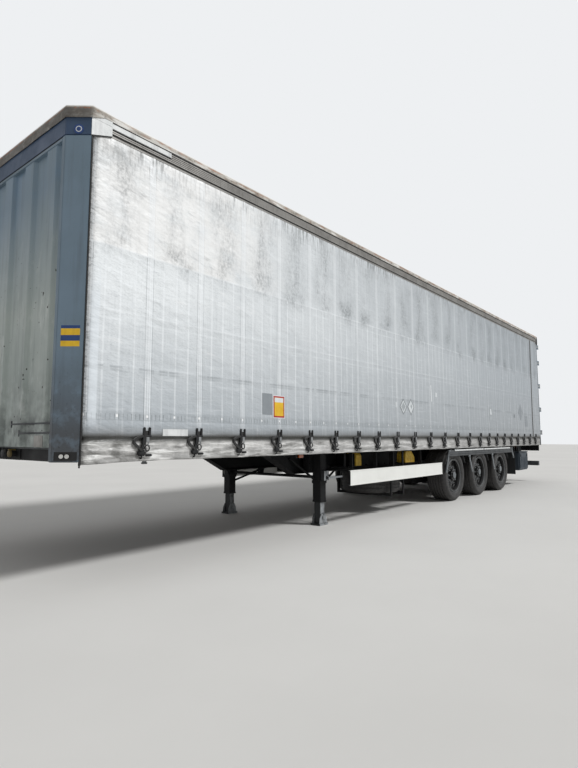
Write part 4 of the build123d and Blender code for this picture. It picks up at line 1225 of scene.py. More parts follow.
frontFittings = {
    "frameZ": (1.3, 1.22), "outerY": (0.33, 1.05), "innerY": (0.49, 1.05), "linkY": 0.47, "faceX": 6.842,
    "ribX": 6.868, "plateY": (0.785, 0.935), "plateZ": (1.105, 1.2),
    "socketX": 6.862, "socketZ": 1.04,
    # a cap's section: share of its radius, distance out
    "cap": ((0, 0), (1, 0), (1, 0.012), (0.9, 0.02), (0.5, 0.024), (0, 0.024)),
    # name: finish, places along the wall, radius
    "caps": {
        "electric_socket_caps": ("guardPlastic", (-0.2, -0.07, 0.07, 0.2), 0.038),
        "supply_coupling": ("couplingRed", (-0.33,), 0.03),
        "control_coupling": ("couplingYellow", (0.33,), 0.03),
    },
}


def makeFrontFittings():
    # an open frame of flat bar, a blank plate, the sockets' caps, and rivets in rows
    rods = bmesh.new()
    x = frontFittings["faceX"]
    for z, ys in zip(frontFittings["frameZ"], (frontFittings["outerY"], frontFittings["innerY"])):
        addBlock(rods, (x, x + 0.03), ys, (z - 0.008, z + 0.008), 0.003)
        addBlock(rods, (x - 0.002, x + 0.03), (ys[0] - 0.008, ys[0] + 0.008), (z - 0.03, z + 0.03), 0.003)
    linkY = frontFittings["linkY"]
    addBlock(rods, (x - 0.002, x + 0.025), (linkY - 0.007, linkY + 0.007), (1.21, 1.31), 0.002)
    addBlock(rods, (6.81, 6.835), (-trim["headY"], trim["headY"]), (1.085, 1.1), 0.004)
    fasten("front_bracket_frame", rods, "wheelRailPaint", "chassis_steel")
    plate = bmesh.new()
    ribX = frontFittings["ribX"]
    addBlock(plate, (ribX - 0.001, ribX + 0.004), frontFittings["plateY"], frontFittings["plateZ"], 0.0015)
    fasten("front_plate_blank", plate, "railAluminium", "guard_aluminium")
    z = frontFittings["socketZ"]
    for name, (finishName, ys, radius) in frontFittings["caps"].items():
        bm = bmesh.new()
        cap = [(share * radius, out) for share, out in frontFittings["cap"]]
        for y in ys:
            addTurned(bm, cap, (frontFittings["socketX"], y, z), "X", 24)
            addBlock(bm, (6.82, 6.884), (y - 0.008, y + 0.008), (z + radius, z + 0.012 + radius), 0.002)
        fasten(name, bm, finishName, "chassis_steel")
    rivet = bmesh.new()
    addTurned(rivet, [(0.007, 0), (0.007, 0.001), (0.004, 0.0035), (0, 0.004)], (6.84, -0.86, 1.13), "X", 10)
    rivets = repeatPart("wall_rivets", rivet, "row", "wallSheet", Count=23, Step=(0.0, 0.0, 0.11), Rows=5,
                        RowStep=(0.0, 0.43, 0.0))
    dress(rivets, "trailer", "wall_steel")


makeFrontFittings()
print("front trimmed")


# Wheels

wheels = {
    "axleXs": (-0.852, -2.162, -3.472), "names": ("front", "middle", "rear"),
    "centreY": 1.04, "hubZ": 0.475,
    "segments": 144, "notchDepth": 0.005,
    # half of the tyre's section, from the bead to mid-tread: radius, distance from the tyre's middle
    "section": (
        (0.308, 0.147), (0.318, 0.157), (0.336, 0.172), (0.344, 0.178), (0.352, 0.1785), (0.37, 0.186),
        (0.395, 0.1895), (0.42, 0.189), (0.437, 0.182), (0.45, 0.171), (0.462, 0.158), (0.4725, 0.147),
        (0.475, 0.138), (0.475, 0.112), (0.463, 0.11), (0.463, 0.1), (0.475, 0.098), (0.475, 0.062),
        (0.463, 0.06), (0.463, 0.048), (0.475, 0.046), (0.475, 0.008), (0.463, 0.006),
    ),
    "nutCircle": 0.152, "nutCount": 10, "nutTurn": 18,
    # cap and bead flange of a hub: radius, distance outwards
    "cap": ((0, 0.172), (0.04, 0.178), (0.06, 0.176), (0.068, 0.168), (0.068, 0.15), (0, 0.15)),
    "flange": ((0.2995, 0.15), (0.307, 0.152), (0.3075, 0.163), (0.304, 0.1655), (0.2995, 0.163)),
    "valve": ((0.24, 0.1, 0), (0.25, 0.13, 0), (0.262, 0.155, 0), (0.27, 0.17, 0)),
    "spareAt": (1.2, 0.62, 0.494),
    "spareDisc": (
        (0, 0.06), (0.11, 0.06), (0.12, 0.1), (0.256, 0.1), (0.262, 0.135), (0.275, 0.163), (0.306, 0.163),
        (0.306, 0.15), (0.288, 0.146), (0.276, 0.12), (0.276, -0.12), (0.288, -0.146), (0.306, -0.15),
        (0.306, -0.163), (0.275, -0.163), (0.262, -0.135), (0.256, 0.086), (0.13, 0.086), (0.12, 0.046),
        (0, 0.046),
    ),
}


def tyreMesh(name):
    half = list(wheels["section"])
    outline = half + [(r, -w) for r, w in reversed(half)] + [(0.286, -0.147), (0.286, 0.147)]
    count, turns = len(outline), wheels["segments"]
    verts, faces, radii = [], [], []
    for s in range(turns):
        angle = math.tau * s / turns
        for r, w in outline:
            notched = s % 3 == 0 and 0.155 > abs(w) > 0.13 and r > 0.46  # in the shoulder of the tread
            reach = r - (wheels["notchDepth"] if notched else 0.0)
            verts.append((reach * math.sin(angle), w, -reach * math.cos(angle)))
            radii.append((r, w))
    for s in range(turns):
        for k in range(count):
            a, b = s * count + k, s * count + (k + 1) % count
            c, d = ((s + 1) % turns) * count + (k + 1) % count, ((s + 1) % turns) * count + k
            faces.append((a, b, c, d))
    bm = loosen(verts, faces)
    bmesh.ops.recalc_face_normals(bm, faces=bm.faces)
    mesh = freeze(name, bm)
    layers = mesh.uv_layers.new(name="tread")
    for loop in mesh.loops:
        layers.data[loop.index].uv = radii[loop.vertex_index]
    return mesh


def nutPart(side):
    # washer, nut, stud and the cap's bolt, turned to face the wheel's outside
    bm = bmesh.new()
    r = wheels["nutCircle"]
    addRod(bm, (0, 0.102, r), (0, 0.106, r), 0.0235, 20)
    addRod(bm, (0, 0.106, r), (0, 0.127, r), 0.018, 6, 0.0165)
    addRod(bm, (0, 0.127, r), (0, 0.14, r), 0.011, 12, 0.0095)
    addRod(bm, (0, 0.15, 0.088), (0, 0.16, 0.088), 0.0085, 6)
    turn = Matrix.Rotation(math.radians(wheels["nutTurn"]), 4, "Y")
    if side < 0:
        turn = turn @ Matrix.Rotation(math.pi, 4, "Z")
    bmesh.ops.transform(bm, matrix=turn, verts=bm.verts)
    return bm


def hubMesh():
    # cap, bead flange and valve of one wheel, at the origin, outside towards +Y
    bm = bmesh.new()
    addTurned(bm, wheels["cap"], (0, 0, 0))
    addTurned(bm, wheels["flange"], (0, 0, 0), sides=64, loop=True)
    addTube(bm, smoothPath(wheels["valve"], 3), 0.0045, 8)
    bmesh.ops.recalc_face_normals(bm, faces=bm.faces)
    return freeze("hub", bm)


baseTyre = tyreMesh("tyre base")


def showTyre(name, place, body, node):
    mesh = baseTyre.copy()
    mesh.transform(place)
    dress(showMesh(name, mesh, finish["tyreRubber"], 28), body, "tyre_rubber", node)


def dressWheel(name, side, centre):
    body = f"wheel_{name}"
    place = Matrix.Translation(centre)
    if side < 0:
        place = place @ Matrix.Rotation(math.pi, 4, "Z")
    showTyre(f"tread_tyre_{name}", place, body, f"tyre_{name}")
    nuts = repeatPart(f"wheel_nuts_{name}", nutPart(side), "ring", "zincSteel", 30,
                      Count=wheels["nutCount"], Centre=centre)
    dress(nuts, body, "zinc_steel")
    hub = hubMesh()
    hub.transform(place)
    dress(showMesh(f"hub_cap_{name}", hub, finish["strutPaint"], 35), body, "rim_steel")
    repaint(f"rim_{name}", "rimPaint")


def makeSpareWheel():
    lying = Matrix.Translation(wheels["spareAt"]) @ Matrix.Rotation(math.pi / 2, 4, "X")
    showTyre("spare_tyre", lying, "trailer", "spare_wheel")
    bm = bmesh.new()
    addTurned(bm, wheels["spareDisc"], (0, 0, 0), sides=64)
    bmesh.ops.transform(bm, matrix=lying, verts=bm.verts)
    fasten("spare_rim", bm, "rimPaint", "rim_steel", angle=35)


for sideName, side in sides:
    for axleName, x in zip(wheels["names"], wheels["axleXs"]):
        dressWheel(f"{axleName}_{sideName}", side, (x, side * wheels["centreY"], wheels["hubZ"]))
makeSpareWheel()
print("wheels dressed")


# Side guards, wheel rails, tool box, mudguards

guard = {
    "panelX": (-0.2, 2.8), "hangerXs": (0.458, 1.42, 1.94, 2.6),
    # the panel's section in y and z
    "section": ((1.238, 0.53), (1.261, 0.53), (1.264, 0.533), (1.264, 0.546), (1.2612, 0.549),
                (1.2612, 0.716), (1.264, 0.719), (1.264, 0.732), (1.261, 0.735), (1.238, 0.735)),
    "railX": (-4.19, -0.53), "railZ": (0.835, 0.95), "railRibs": 3,
    # x and z of a strut's top and of its foot
    "struts": ((-0.53, 0.95, -0.37, 0.547), (-1.49, 0.835, -1.65, 0.5), (-2.81, 0.835, -2.93, 0.49),
               (-4.16, 0.95, -4.3, 0.7)),
    "strutWidth": 0.05, "stripX": ((-2.3, -0.79), (-4.05, -2.34)),
}


def makeGuards():
    panel = bmesh.new()
    addPlate(panel, guard["section"], *guard["panelX"], "X")
    fasten("guard_panels", panel, "guardAluminium", "guard_aluminium", "side_guards", angle=25, twin=True)
    bm = bmesh.new()
    for x in guard["hangerXs"]:
        addBlock(bm, (x - 0.025, x + 0.025), (1.172, 1.238), (0.56, 0.735), 0.004)
        addBlock(bm, (x - 0.009, x + 0.009), (1.12, 1.172), (0.56, 1.06), 0.003)
        addPlate(bm, [(1.05, 1.058), (1.12, 1.058), (1.12, 0.95)], x - 0.004, x + 0.004, "X")
        for z in (0.6, 0.69):
            addRod(bm, (x, 1.236, z), (x, 1.2445, z), 0.011, 6)
    for x in guard["panelX"]:
        inner = x - 0.004 if x > 0 else x + 0.004
        addBlock(bm, (min(x, inner), max(x, inner)), (1.234, 1.263), (0.531, 0.734), 0.001)
    fasten("guard_hangers", bm, "chassisPaint", "chassis_steel", twin=True)


def makeWheelRails():
    low, high = guard["railZ"]
    section = [(1.2415, low)]
    ribHeight = (high - low) / guard["railRibs"]
    for i in range(guard["railRibs"]):
        foot = low + ribHeight * i
        section += [(1.262, foot), (1.264, foot + 0.003), (1.264, foot + 0.014), (1.257, foot + 0.018),
                    (1.257, foot + ribHeight - 0.002)]
    section += [(1.262, high), (1.2415, high)]
    rail = bmesh.new()
    addPlate(rail, section, *guard["railX"], "X")
    for x in wheels["axleXs"]:
        addBlock(rail, (x - 0.04, x + 0.04), (1.2395, 1.249), (0.9, 1.06), 0.002)
    fasten("wheel_rail_profile", rail, "wheelRailPaint", "rail_aluminium", "wheel_rails", angle=25, twin=True)
    bm = bmesh.new()
    w = guard["strutWidth"]
    for topX, topZ, lowX, lowZ in guard["struts"]:
        addPlate(bm, [(topX, topZ), (lowX, lowZ), (lowX - w, lowZ), (topX - w, topZ)], 1.2425, 1.258)
        for t in (0.12, 0.88):
            x, z = topX + (lowX - topX) * t - w / 2, topZ + (lowZ - topZ) * t
            addRod(bm, (x, 1.256, z), (x, 1.2635, z), 0.01, 6)
        addBlock(bm, (topX - w - 0.02, topX + 0.02), (1.2425, 1.2655), (topZ - 0.03, topZ), 0.003)
    fasten("wheel_rail_struts", bm, "strutPaint", "rail_aluminium", twin=True)
    strip = bmesh.new()
    for xs in guard["stripX"]:
        addBlock(strip, xs, (1.243, 1.2665), (high - 0.022, high + 0.004), 0.003)
    fasten("wheel_rail_strips", strip, "trimEnamel", "rail_aluminium", twin=True)


toolBox = {
    # box, lid and door: x, y, z, bevel and its steps
    "shell": (((-5.71, -4.98), (0.76, 1.182), (0.365, 0.812), 0.02, 3),
              ((-5.716, -4.974), (0.756, 1.19), (0.8, 0.832), 0.008),
              ((-5.68, -5.01), (1.178, 1.192), (0.41, 0.79), 0.006)),
    "ribs": 6, "firstRib": -5.64, "ribPitch": 0.118, "ribWidth": 0.03, "ribZ": (0.43, 0.69),
    "hangerXs": (-5.6, -5.09), "barX": (-5.74, -4.752), "latchZ": 0.728,
}


def makeToolBox():
    bm = bmesh.new()
    for row in toolBox["shell"]:
        addBlock(bm, *row)
    for i in range(toolBox["ribs"]):
        x = toolBox["firstRib"] + toolBox["ribPitch"] * i
        addBlock(bm, (x, x + toolBox["ribWidth"]), (1.188, 1.198), toolBox["ribZ"], 0.004)
    fasten("tool_box_shell", bm, "boxPlastic", "box_plastic", "tool_box")
    metal = bmesh.new()
    z = toolBox["latchZ"]
    for x in toolBox["hangerXs"]:
        addBlock(metal, (x - 0.025, x + 0.025), (0.9, 0.95), (0.828, 1.032), 0.003)
        addBlock(metal, (x - 0.02, x + 0.02), (1.19, 1.201), (z - 0.028, z + 0.032), 0.003)
        addRod(metal, (x, 1.197, z), (x, 1.204, z), 0.012, 12)
    addBlock(metal, toolBox["barX"], (0.9, 0.95), (1.03, 1.06), 0.003)
    fasten("tool_box_fittings", metal, "chassisPaint", "chassis_steel")


mudguard = {
    "spread": 65, "steps": 30,  # degrees to each side of the top
    # across the arch: y, radius
    "section": ((0.845, 0.52), (1.235, 0.52), (1.235, 0.512), (1.2395, 0.512), (1.2395, 0.528), (1.2, 0.528),
                (1.195, 0.533), (1.165, 0.533), (1.16, 0.528), (1.06, 0.528), (1.055, 0.533), (1.025, 0.533),
                (1.02, 0.528), (0.92, 0.528), (0.915, 0.533), (0.885, 0.533), (0.88, 0.528), (0.8405, 0.528),
                (0.8405, 0.512), (0.845, 0.512)),
}


def makeMudguards():
    # a ribbed plastic arch over each wheel, with a rolled lip, hung from the cross member above
    section, spread, steps = mudguard["section"], mudguard["spread"], mudguard["steps"]
    bm = bmesh.new()
    for x in wheels["axleXs"]:
        rings = []
        for step in range(steps + 1):
            angle = math.radians(spread * (2 * step / steps - 1))
            rings.append([bm.verts.new((x + r * math.sin(angle), y, wheels["hubZ"] + r * math.cos(angle)))
                          for y, r in section])
        for a, b in zip(rings, rings[1:]):
            for k in range(len(section)):
                n = (k + 1) % len(section)
                bm.faces.new((a[k], a[n], b[n], b[k]))
        bm.faces.new(rings[0])
        bm.faces.new(rings[-1][::-1])
        addBlock(bm, (x - 0.025, x + 0.025), (1.0, 1.06), (1.0, 1.06), 0.003)
    fasten("mudguard_arches", bm, "guardPlastic", "black_plastic", "mudguards", twin=True)


makeGuards()
makeWheelRails()
makeToolBox()
makeMudguards()
print("side equipment made")


# Running gear: bellows, dampers with the axles' clamps, brake hoses

gear = {
    "springBack": 0.38, "beamY": 0.65, "clampZ": 0.296,
    # a bellows: radius, height
    "bellows": ((0, 0.345), (0.092, 0.345), (0.098, 0.4), (0.1, 0.44), (0.118, 0.452), (0.134, 0.47),
                (0.14, 0.495), (0.139, 0.53), (0.132, 0.555), (0.128, 0.562), (0.133, 0.57), (0.14, 0.595),
                (0.138, 0.625), (0.128, 0.655), (0.115, 0.668), (0.112, 0.69), (0, 0.69)),
    # a brake hose: distance in front of the axle, y, z
    "hose": ((-0.2, 0.4, 0.585), (-0.14, 0.36, 0.68), (-0.02, 0.28, 0.72), (0.06, 0.2, 0.8),
             (0.08, 0.18, 0.95), (0.08, 0.18, 1.06)),
}


def makeRunningGear():
    springs = bmesh.new()
    dampers = bmesh.new()
    hoses = bmesh.new()
    for x in wheels["axleXs"]:
        addTurned(springs, gear["bellows"], (x - gear["springBack"], gear["beamY"], 0), "Z", 40)
        lowEye = Vector((x - 0.1, 0.74, 0.375))
        highEye = Vector((x + 0.3, 0.74, 0.735))
        line = (highEye - lowEye).normalized()
        addRod(dampers, lowEye, lowEye + line * 0.3, 0.031, 20)
        addRod(dampers, lowEye + line * 0.26, highEye, 0.037, 20)
        for eye in (lowEye, highEye):
            addRod(dampers, eye - Vector((0, 0.075, 0)), eye + Vector((0, 0.03, 0)), 0.022, 16)
        for dx in (-0.052, 0.052):
            for y in (0.602, 0.698):
                addRod(dampers, (x + dx, y, 0.3), (x + dx, y, 0.56), 0.009, 10)
                addRod(dampers, (x + dx, y, 0.548), (x + dx, y, 0.566), 0.016, 6)
        addBlock(dampers, (x - 0.09, x + 0.09), (0.585, 0.715), (gear["clampZ"], gear["clampZ"] + 0.014))
        addTube(hoses, smoothPath([(x + ahead, y, z) for ahead, y, z in gear["hose"]], 5), 0.009, 8)
    fasten("air_bellows", springs, "bellowsRubber", "spring_rubber", "air_springs", twin=True)
    fasten("dampers_and_clamps", dampers, "wheelRailPaint", "chassis_steel", twin=True)
    fasten("brake_hoses", hoses, "bellowsRubber", "black_plastic", twin=True)


# Chassis fittings

fittings = {
    "boltAt": (-5.6, 0.6545, 0.74), "boltCount": 44, "boltStep": 0.2, "boltRows": 0.27,
    "pipesX": (-6.2, 3.3), "pipesYZ": ((0.6, 0.93), (0.585, 0.955), (0.6, 0.98)),
    "neckPipe": ((3.3, 0.6, 0.98), (3.6, 0.56, 1.03), (4.2, 0.5, 1.05), (5.4, 0.42, 1.05), (6.5, 0.36, 1.05),
                 (6.72, 0.33, 1.05)),
    "tankXs": (-0.197, 0.458), "tankZ": 0.82, "tankEnd": 0.5, "bandY": 0.3,
    # a tank's band and its domed end: radius, distance along
    "band": ((0.139, -0.02), (0.1415, -0.02), (0.1415, 0.02), (0.139, 0.02)),
    "dome": ((0.134, 0), (0.125, 0.012), (0.07, 0.024), (0, 0.028), (0, -0.004), (0.134, -0.004)),
    "legX": 2.995, "legBoltZs": (0.74, 0.83, 0.92, 1.01), "footZ": 0.105,
    "rearBrace": ((2.95, 0.85, 0.5), (2.35, 0.69, 0.7)), "frontBrace": ((3.04, 0.84, 0.6), (3.38, 0.67, 0.9)),
    "markerXs": (3.75, -4.62),
    # plates beside the chocks and the lamp bracket: x, y, z, bevel
    "covers": (((2.262, 2.27), (0.66, 0.988), (0.757, 0.94), 0.002),
               ((3.71, 3.88), (1.17, 1.178), (0.93, 1.04), 0.002),
               ((3.73, 3.86), (1.17, 1.2), (0.985, 1.0), 0.002)),
}


def makeBoltsAndPipes():
    bolt = bmesh.new()
    x, y, z = fittings["boltAt"]
    addRod(bolt, (x, y, z), (x, y + 0.0135, z), 0.012, 6)
    bolts = repeatPart("web bolts", bolt, "row", "chassisPaint", 30, Count=fittings["boltCount"], Rows=2,
                       Step=(fittings["boltStep"], 0.0, 0.0), RowStep=(0.0, 0.0, fittings["boltRows"]))
    joinSides("beam_bolts", [bolts], "chassisPaint", "chassis_steel", angle=30)
    pipes = bmesh.new()
    rear, front = fittings["pipesX"]
    for y, z in fittings["pipesYZ"]:
        addRod(pipes, (rear, y, z), (front, y, z), 0.008, 8)
    addTube(pipes, smoothPath(fittings["neckPipe"], 6), 0.011, 8)
    fasten("air_pipes", pipes, "bellowsRubber", "black_plastic")
    clip = bmesh.new()
    addBlock(clip, (-6.0, -5.975), (0.57, 0.646), (0.915, 0.995), 0.004)
    clips = repeatPart("pipe_clips", clip, "row", "zincSteel", Count=15, Step=(0.64, 0.0, 0.0))
    dress(clips, "trailer", "zinc_steel")


def makeTankFittings():
    bands = bmesh.new()
    z, end = fittings["tankZ"], fittings["tankEnd"]
    for x in fittings["tankXs"]:
        for side in (-1, 1):
            y = side * fittings["bandY"]
            band = [(r, y + along) for r, along in fittings["band"]]
            addTurned(bands, band, (x, 0, z), sides=48, loop=True)
        for side in (-1, 1):
            addTurned(bands, [(r, side * (end + out)) for r, out in fittings["dome"]], (x, 0, z), sides=48)
    fasten("tank_ends_and_bands", bands, "chassisPaint", "chassis_steel")


def makeLegFittings():
    legs = bmesh.new()
    x = fittings["legX"]
    for dx in (-0.12, 0.12):
        for z in fittings["legBoltZs"]:
            addRod(legs, (x + dx, 0.815, z), (x + dx, 0.829, z), 0.013, 6)
    addRod(legs, *fittings["rearBrace"], 0.016, 10)
    addBlock(legs, (x - 0.07, x + 0.07), (0.81, 0.95), (0.306, 0.33), 0.004)
    mirrorSides(legs)
    addRod(legs, (x, -0.815, 0.64), (x, 0.815, 0.64), 0.021, 16)
    fasten("leg_braces", legs, "chassisPaint", "chassis_steel")


def makeSideFittings():
    lamp = bmesh.new()
    for x in fittings["markerXs"]:
        addBlock(lamp, (x, x + 0.09), (1.175, 1.2), (0.935, 0.985), 0.006)
    fasten("side_marker_lamps", lamp, "amberLens", "lamp_red", twin=True)
    covers = bmesh.new()
    for row in fittings["covers"]:
        addBlock(covers, *row)
    addRod(covers, *fittings["frontBrace"], 0.016, 10)
    fasten("chock_guards_and_brackets", covers, "chassisPaint", "chassis_steel", twin=True)


def makeFootPins():
    pins = bmesh.new()
    x, z = fittings["legX"], fittings["footZ"]
    addRod(pins, (x, 0.806, z), (x, 0.954, z), 0.017, 16)
    for y in (0.8, 0.952):
        addRod(pins, (x, y, z), (x, y + 0.008, z), 0.028, 6)
    fasten("foot_pins", pins, "zincSteel", "zinc_steel", twin=True)


makeRunningGear()
makeBoltsAndPipes()
makeTankFittings()
makeLegFittings()
makeSideFittings()
makeFootPins()
print("running gear made")


# Rear end: door seals and frames, hinge bolts, bar guides, lamps, blank plate

rear = {
    "doorX": -6.82, "doorEdge": 1.24, "doorLow": 1.13, "doorHigh": 3.85, "gap": 0.008,
    "sealWidth": 0.018, "frameWidth": 0.045, "sillHeight": 0.07,
    "hingeZs": (1.32, 1.95, 2.6, 3.25, 3.7), "hingeBoltYs": (1.11, 1.17),
    "barYs": (0.33, 0.86), "camZs": (1.18, 3.79), "guideZs": (1.18, 1.48, 2.35, 3.05, 3.79),
    "lampZ": 0.9025,
    # a lens: radius, x
    "lens": ((0, -6.812), (0.03, -6.811), (0.046, -6.806), (0.05, -6.798), (0.05, -6.79), (0, -6.79)),
    # name: finish, places across
    "lenses": {
        "red_lenses": ("redLens", (0.9, 1.13)), "amber_lenses": ("amberLens", (0.78,)),
        "white_lenses": ("whiteLens", (1.02,)),
    },
    "reflector": ((0.56, 0.85), (0.7, 0.85), (0.63, 0.965)),
}


def makeDoorTrim(name, side):
    body = f"door_{name}"
    x = rear["doorX"]
    inner, outer = side * (rear["gap"] + 0.002), side * (rear["doorEdge"] - 0.001)
    low, high = rear["doorLow"] + 0.002, rear["doorHigh"] - 0.002
    seal = bmesh.new()
    metal = bmesh.new()
    thin, wide = rear["sealWidth"], rear["frameWidth"]
    step, broad = side * thin, side * wide
    for ys, zs in (((inner, inner + step), (low, high)), ((outer - step, outer), (low, high)),
                   ((inner, outer), (low, low + thin)), ((inner, outer), (high - thin, high))):
        addBlock(seal, (x - 0.0035, x + 0.01), ys, zs, 0.003)
    reach = rear["sillHeight"]
    for ys, zs in (((inner + step, inner + broad), (low, high)), ((outer - broad, outer - step), (low, high)),
                   ((inner + broad, outer - broad), (low + thin, low + reach)),
                   ((inner + broad, outer - broad), (high - reach, high - thin))):
        addBlock(metal, (x - 0.0022, x + 0.008), ys, zs, 0.001)
    for z in rear["hingeZs"]:
        for y in rear["hingeBoltYs"]:
            addRod(metal, (x - 0.0075, side * y, z), (x - 0.0125, side * y, z), 0.009, 12)
    for y in rear["barYs"]:
        for z in rear["camZs"]:
            addRod(metal, (x - 0.013, side * y, z - 0.045), (x - 0.013, side * y, z + 0.045), 0.0155, 16)
        addBlock(metal, (x - 0.028, x), (side * (y + 0.14), side * (y + 0.175)), (1.575, 1.64), 0.004)
        for z in rear["guideZs"]:
            for dy in (-0.024, 0.024):
                at = side * (y + dy)
                addRod(metal, (x - 0.024, at, z - 0.02), (x - 0.0295, at, z - 0.02), 0.006, 6)
    fasten(f"door_seals_{name}", seal, "bellowsRubber", "black_plastic", body=body)
    fasten(f"door_fittings_{name}", metal, "zincSteel", "zinc_steel", body=body)


def makeRearLamps():
    shell = bmesh.new()
    addBlock(shell, (-6.8, -6.758), (0.755, 1.185), (0.835, 0.97), 0.012, 3)
    addBlock(shell, (-6.775, -6.758), (0.15, 0.27), (0.845, 0.885), 0.004)
    for ys in ((0.96, 1.14), (0.04, 0.24)):
        addBlock(shell, (-6.852, -6.79), ys, (0.99, 1.105), 0.012)
    fasten("rear_lamp_shells", shell, "guardPlastic", "black_plastic", "rear_lamps", twin=True)
    for name, (finishName, ys) in rear["lenses"].items():
        bm = bmesh.new()
        for y in ys:
            addTurned(bm, rear["lens"], (0, y, rear["lampZ"]), "X", 32)
        if name == "red_lenses":
            addPlate(bm, rear["reflector"], -6.768, -6.759, "X")
        fasten(name, bm, finishName, "lamp_red", twin=True)
    plate = bmesh.new()
    addBlock(plate, (-6.766, -6.759), (-0.26, 0.26), (0.855, 0.965), 0.002)
    fasten("number_plate_blank", plate, "patchPale", "guard_aluminium")


for name, side in sides:
    makeDoorTrim(name, side)
makeRearLamps()
print("rear dressed")


# Inside the load space: laths between the side posts, and lashing rings along the raves

inside = {
    "lathX": (-6.66, -3.42), "lathZ": (1.55, 1.65), "lathPitch": 0.58, "lathsHigh": 4,
    "bayShifts": (0.0, 3.36, 6.72, 10.08),
    "ringAt": (-6.3, 1.16, 1.194), "ringPitch": 1.02, "ringCount": 13,
}


def makeInside():
    laths = []
    for shift in inside["bayShifts"]:
        lath = bmesh.new()
        addBlock(lath, [x + shift for x in inside["lathX"]], (1.2, 1.225), inside["lathZ"], 0.004)
        laths.append(repeatPart("lath column", lath, "row", "railAluminium", Count=inside["lathsHigh"],
                                Step=(0.0, 0.0, inside["lathPitch"])))
    joinSides("side_laths", laths, "railAluminium", "roof_aluminium")
    ring = bmesh.new()
    section = ((0.022, -0.004), (0.028, -0.004), (0.028, 0.004), (0.022, 0.004))
    addTurned(ring, section, inside["ringAt"], "Z", 16, loop=True)
    rings = repeatPart("ring row", ring, "row", "zincSteel", Count=inside["ringCount"],
                       Step=(inside["ringPitch"], 0.0, 0.0))
    joinSides("lashing_rings", [rings], "zincSteel", "zinc_steel")


makeInside()
print("inside fitted")


# Finishes of the carried-over nodes. Columns: finish, width of the worn edge in metres, 0 to keep the solid

nodeFinish = {
    "main_beams": ("chassisPaint", 0.003), "cross_members": ("chassisPaint", 0.0),
    "side_raves": ("chassisPaint", 0.0), "load_floor": ("floorPlywood", 0.0),
    "front_sill": ("chassisPaint", 0.003), "skid_plate": ("chassisPaint", 0.002),
    "kingpin": ("zincSteel", 0.0), "front_wall": ("wallSheet", 0.004), "corner_posts": ("postPaint", 0.006),
    "front_header": ("headerPaintShaded", 0.006), "roof_rails": ("railAluminium", 0.0),
    "roof_bows": ("railAluminium", 0.0), "side_posts": ("zincSteel", 0.003), "rear_posts": ("postPaint", 0.0),
    "rear_header": ("postPaint", 0.004), "rear_sill": ("chassisPaint", 0.003),
    "rear_door_left": ("doorLaminate", 0.0), "rear_door_right": ("doorLaminate", 0.0),
    "lock_bars_left": ("zincSteel", 0.0), "lock_bars_right": ("zincSteel", 0.0),
    "underrun_bumper": ("wheelRailPaint", 0.004), "landing_legs": ("chassisPaint", 0.005),
    "landing_feet": ("legZinc", 0.003), "landing_gear_shaft": ("legZinc", 0.003),
    "spare_wheel_carrier": ("chassisPaint", 0.002), "axles": ("chassisPaint", 0.0),
    "trailing_arms": ("chassisPaint", 0.004), "spring_hangers": ("chassisPaint", 0.004),
    "mud_flaps": ("guardPlastic", 0.002), "air_tanks": ("chassisPaint", 0.0),
    "wheel_chocks": ("chockPlastic", 0.006), "chock_holders": ("chassisPaint", 0.002),
    "connection_panel": ("chassisPaint", 0.0),
}
slotOf = {row["node"]: row["material_slot"] for row in frame["record"]["subparts"]}
bodyOf = {node: body for body, nodes in frame["record"]["behaviour"]["bodies"].items() for node in nodes}
for nodeName, (finishName, width) in nodeFinish.items():
    if width:
        copy = bevelledCopy(nodeName, width, finish[finishName])
        dress(copy, bodyOf[nodeName], slotOf[nodeName], nodeName)
    else:
        repaint(nodeName, finishName)
print("nodes finished")


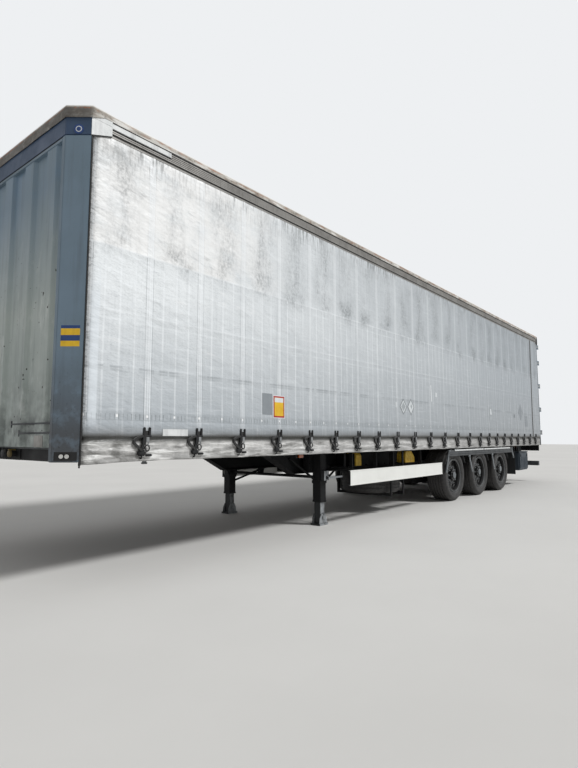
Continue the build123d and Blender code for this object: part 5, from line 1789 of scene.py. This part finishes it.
# Floor, lamps and world

stage = {
    "floorSize": 180, "floorColour": "#D9D8D5", "floorShade": "#D2D1CE", "skyColour": "#EEF0F2",
    "ambient": 0.37, "sunStrength": 2.25, "sunFrom": (-0.28, 0.62, 0.74), "sunAngle": 12.0,
}


def addStage():
    half = stage["floorSize"] / 2
    corners = [(-half, -half, 0), (half, -half, 0), (half, half, 0), (-half, half, 0)]
    material, tree, place = startMaterial("studioFloor")
    cloud = blotches(tree, place, 3.0, 0.3, 0.7)
    colour = layer(tree, toLinear(stage["floorColour"]), stage["floorShade"], cloud)
    closeMaterial(material, {"Base Color": colour, "Roughness": 0.8})
    floor = meshPiece("studio_floor", corners, [(0, 1, 2, 3)], material)
    lamp = bpy.data.lights.new("key lamp", "SUN")
    lamp.energy = stage["sunStrength"]
    lamp.angle = math.radians(stage["sunAngle"])
    made = bpy.data.objects.new("key lamp", lamp)
    bpy.context.scene.collection.objects.link(made)
    made.rotation_euler = Vector(stage["sunFrom"]).to_track_quat("Z", "Y").to_euler()
    world = bpy.data.worlds.new("studio")
    bpy.context.scene.world = world
    world.use_nodes = True
    tree = world.node_tree
    tree.nodes.clear()
    path = add(tree, "ShaderNodeLightPath")
    seen = add(tree, "ShaderNodeMath", {0: path["Is Camera Ray"], 1: path["Is Transmission Ray"]},
               operation="MAXIMUM")[0]
    gloss = add(tree, "ShaderNodeMath", {0: path["Is Glossy Ray"], 1: 0.7}, operation="MULTIPLY")[0]
    shine = add(tree, "ShaderNodeMath", {0: seen, 1: gloss}, operation="MAXIMUM")[0]
    soft = add(tree, "ShaderNodeBackground", {"Color": (1, 1, 1, 1), "Strength": stage["ambient"]})[0]
    pale = add(tree, "ShaderNodeBackground", {"Color": toLinear(stage["skyColour"]), "Strength": 1.0})[0]
    both = add(tree, "ShaderNodeMixShader", {0: shine, 1: soft, 2: pale})[0]
    add(tree, "ShaderNodeOutputWorld", {"Surface": both})


addStage()
bpy.context.scene.view_settings.view_transform = "Standard"
print("stage set")
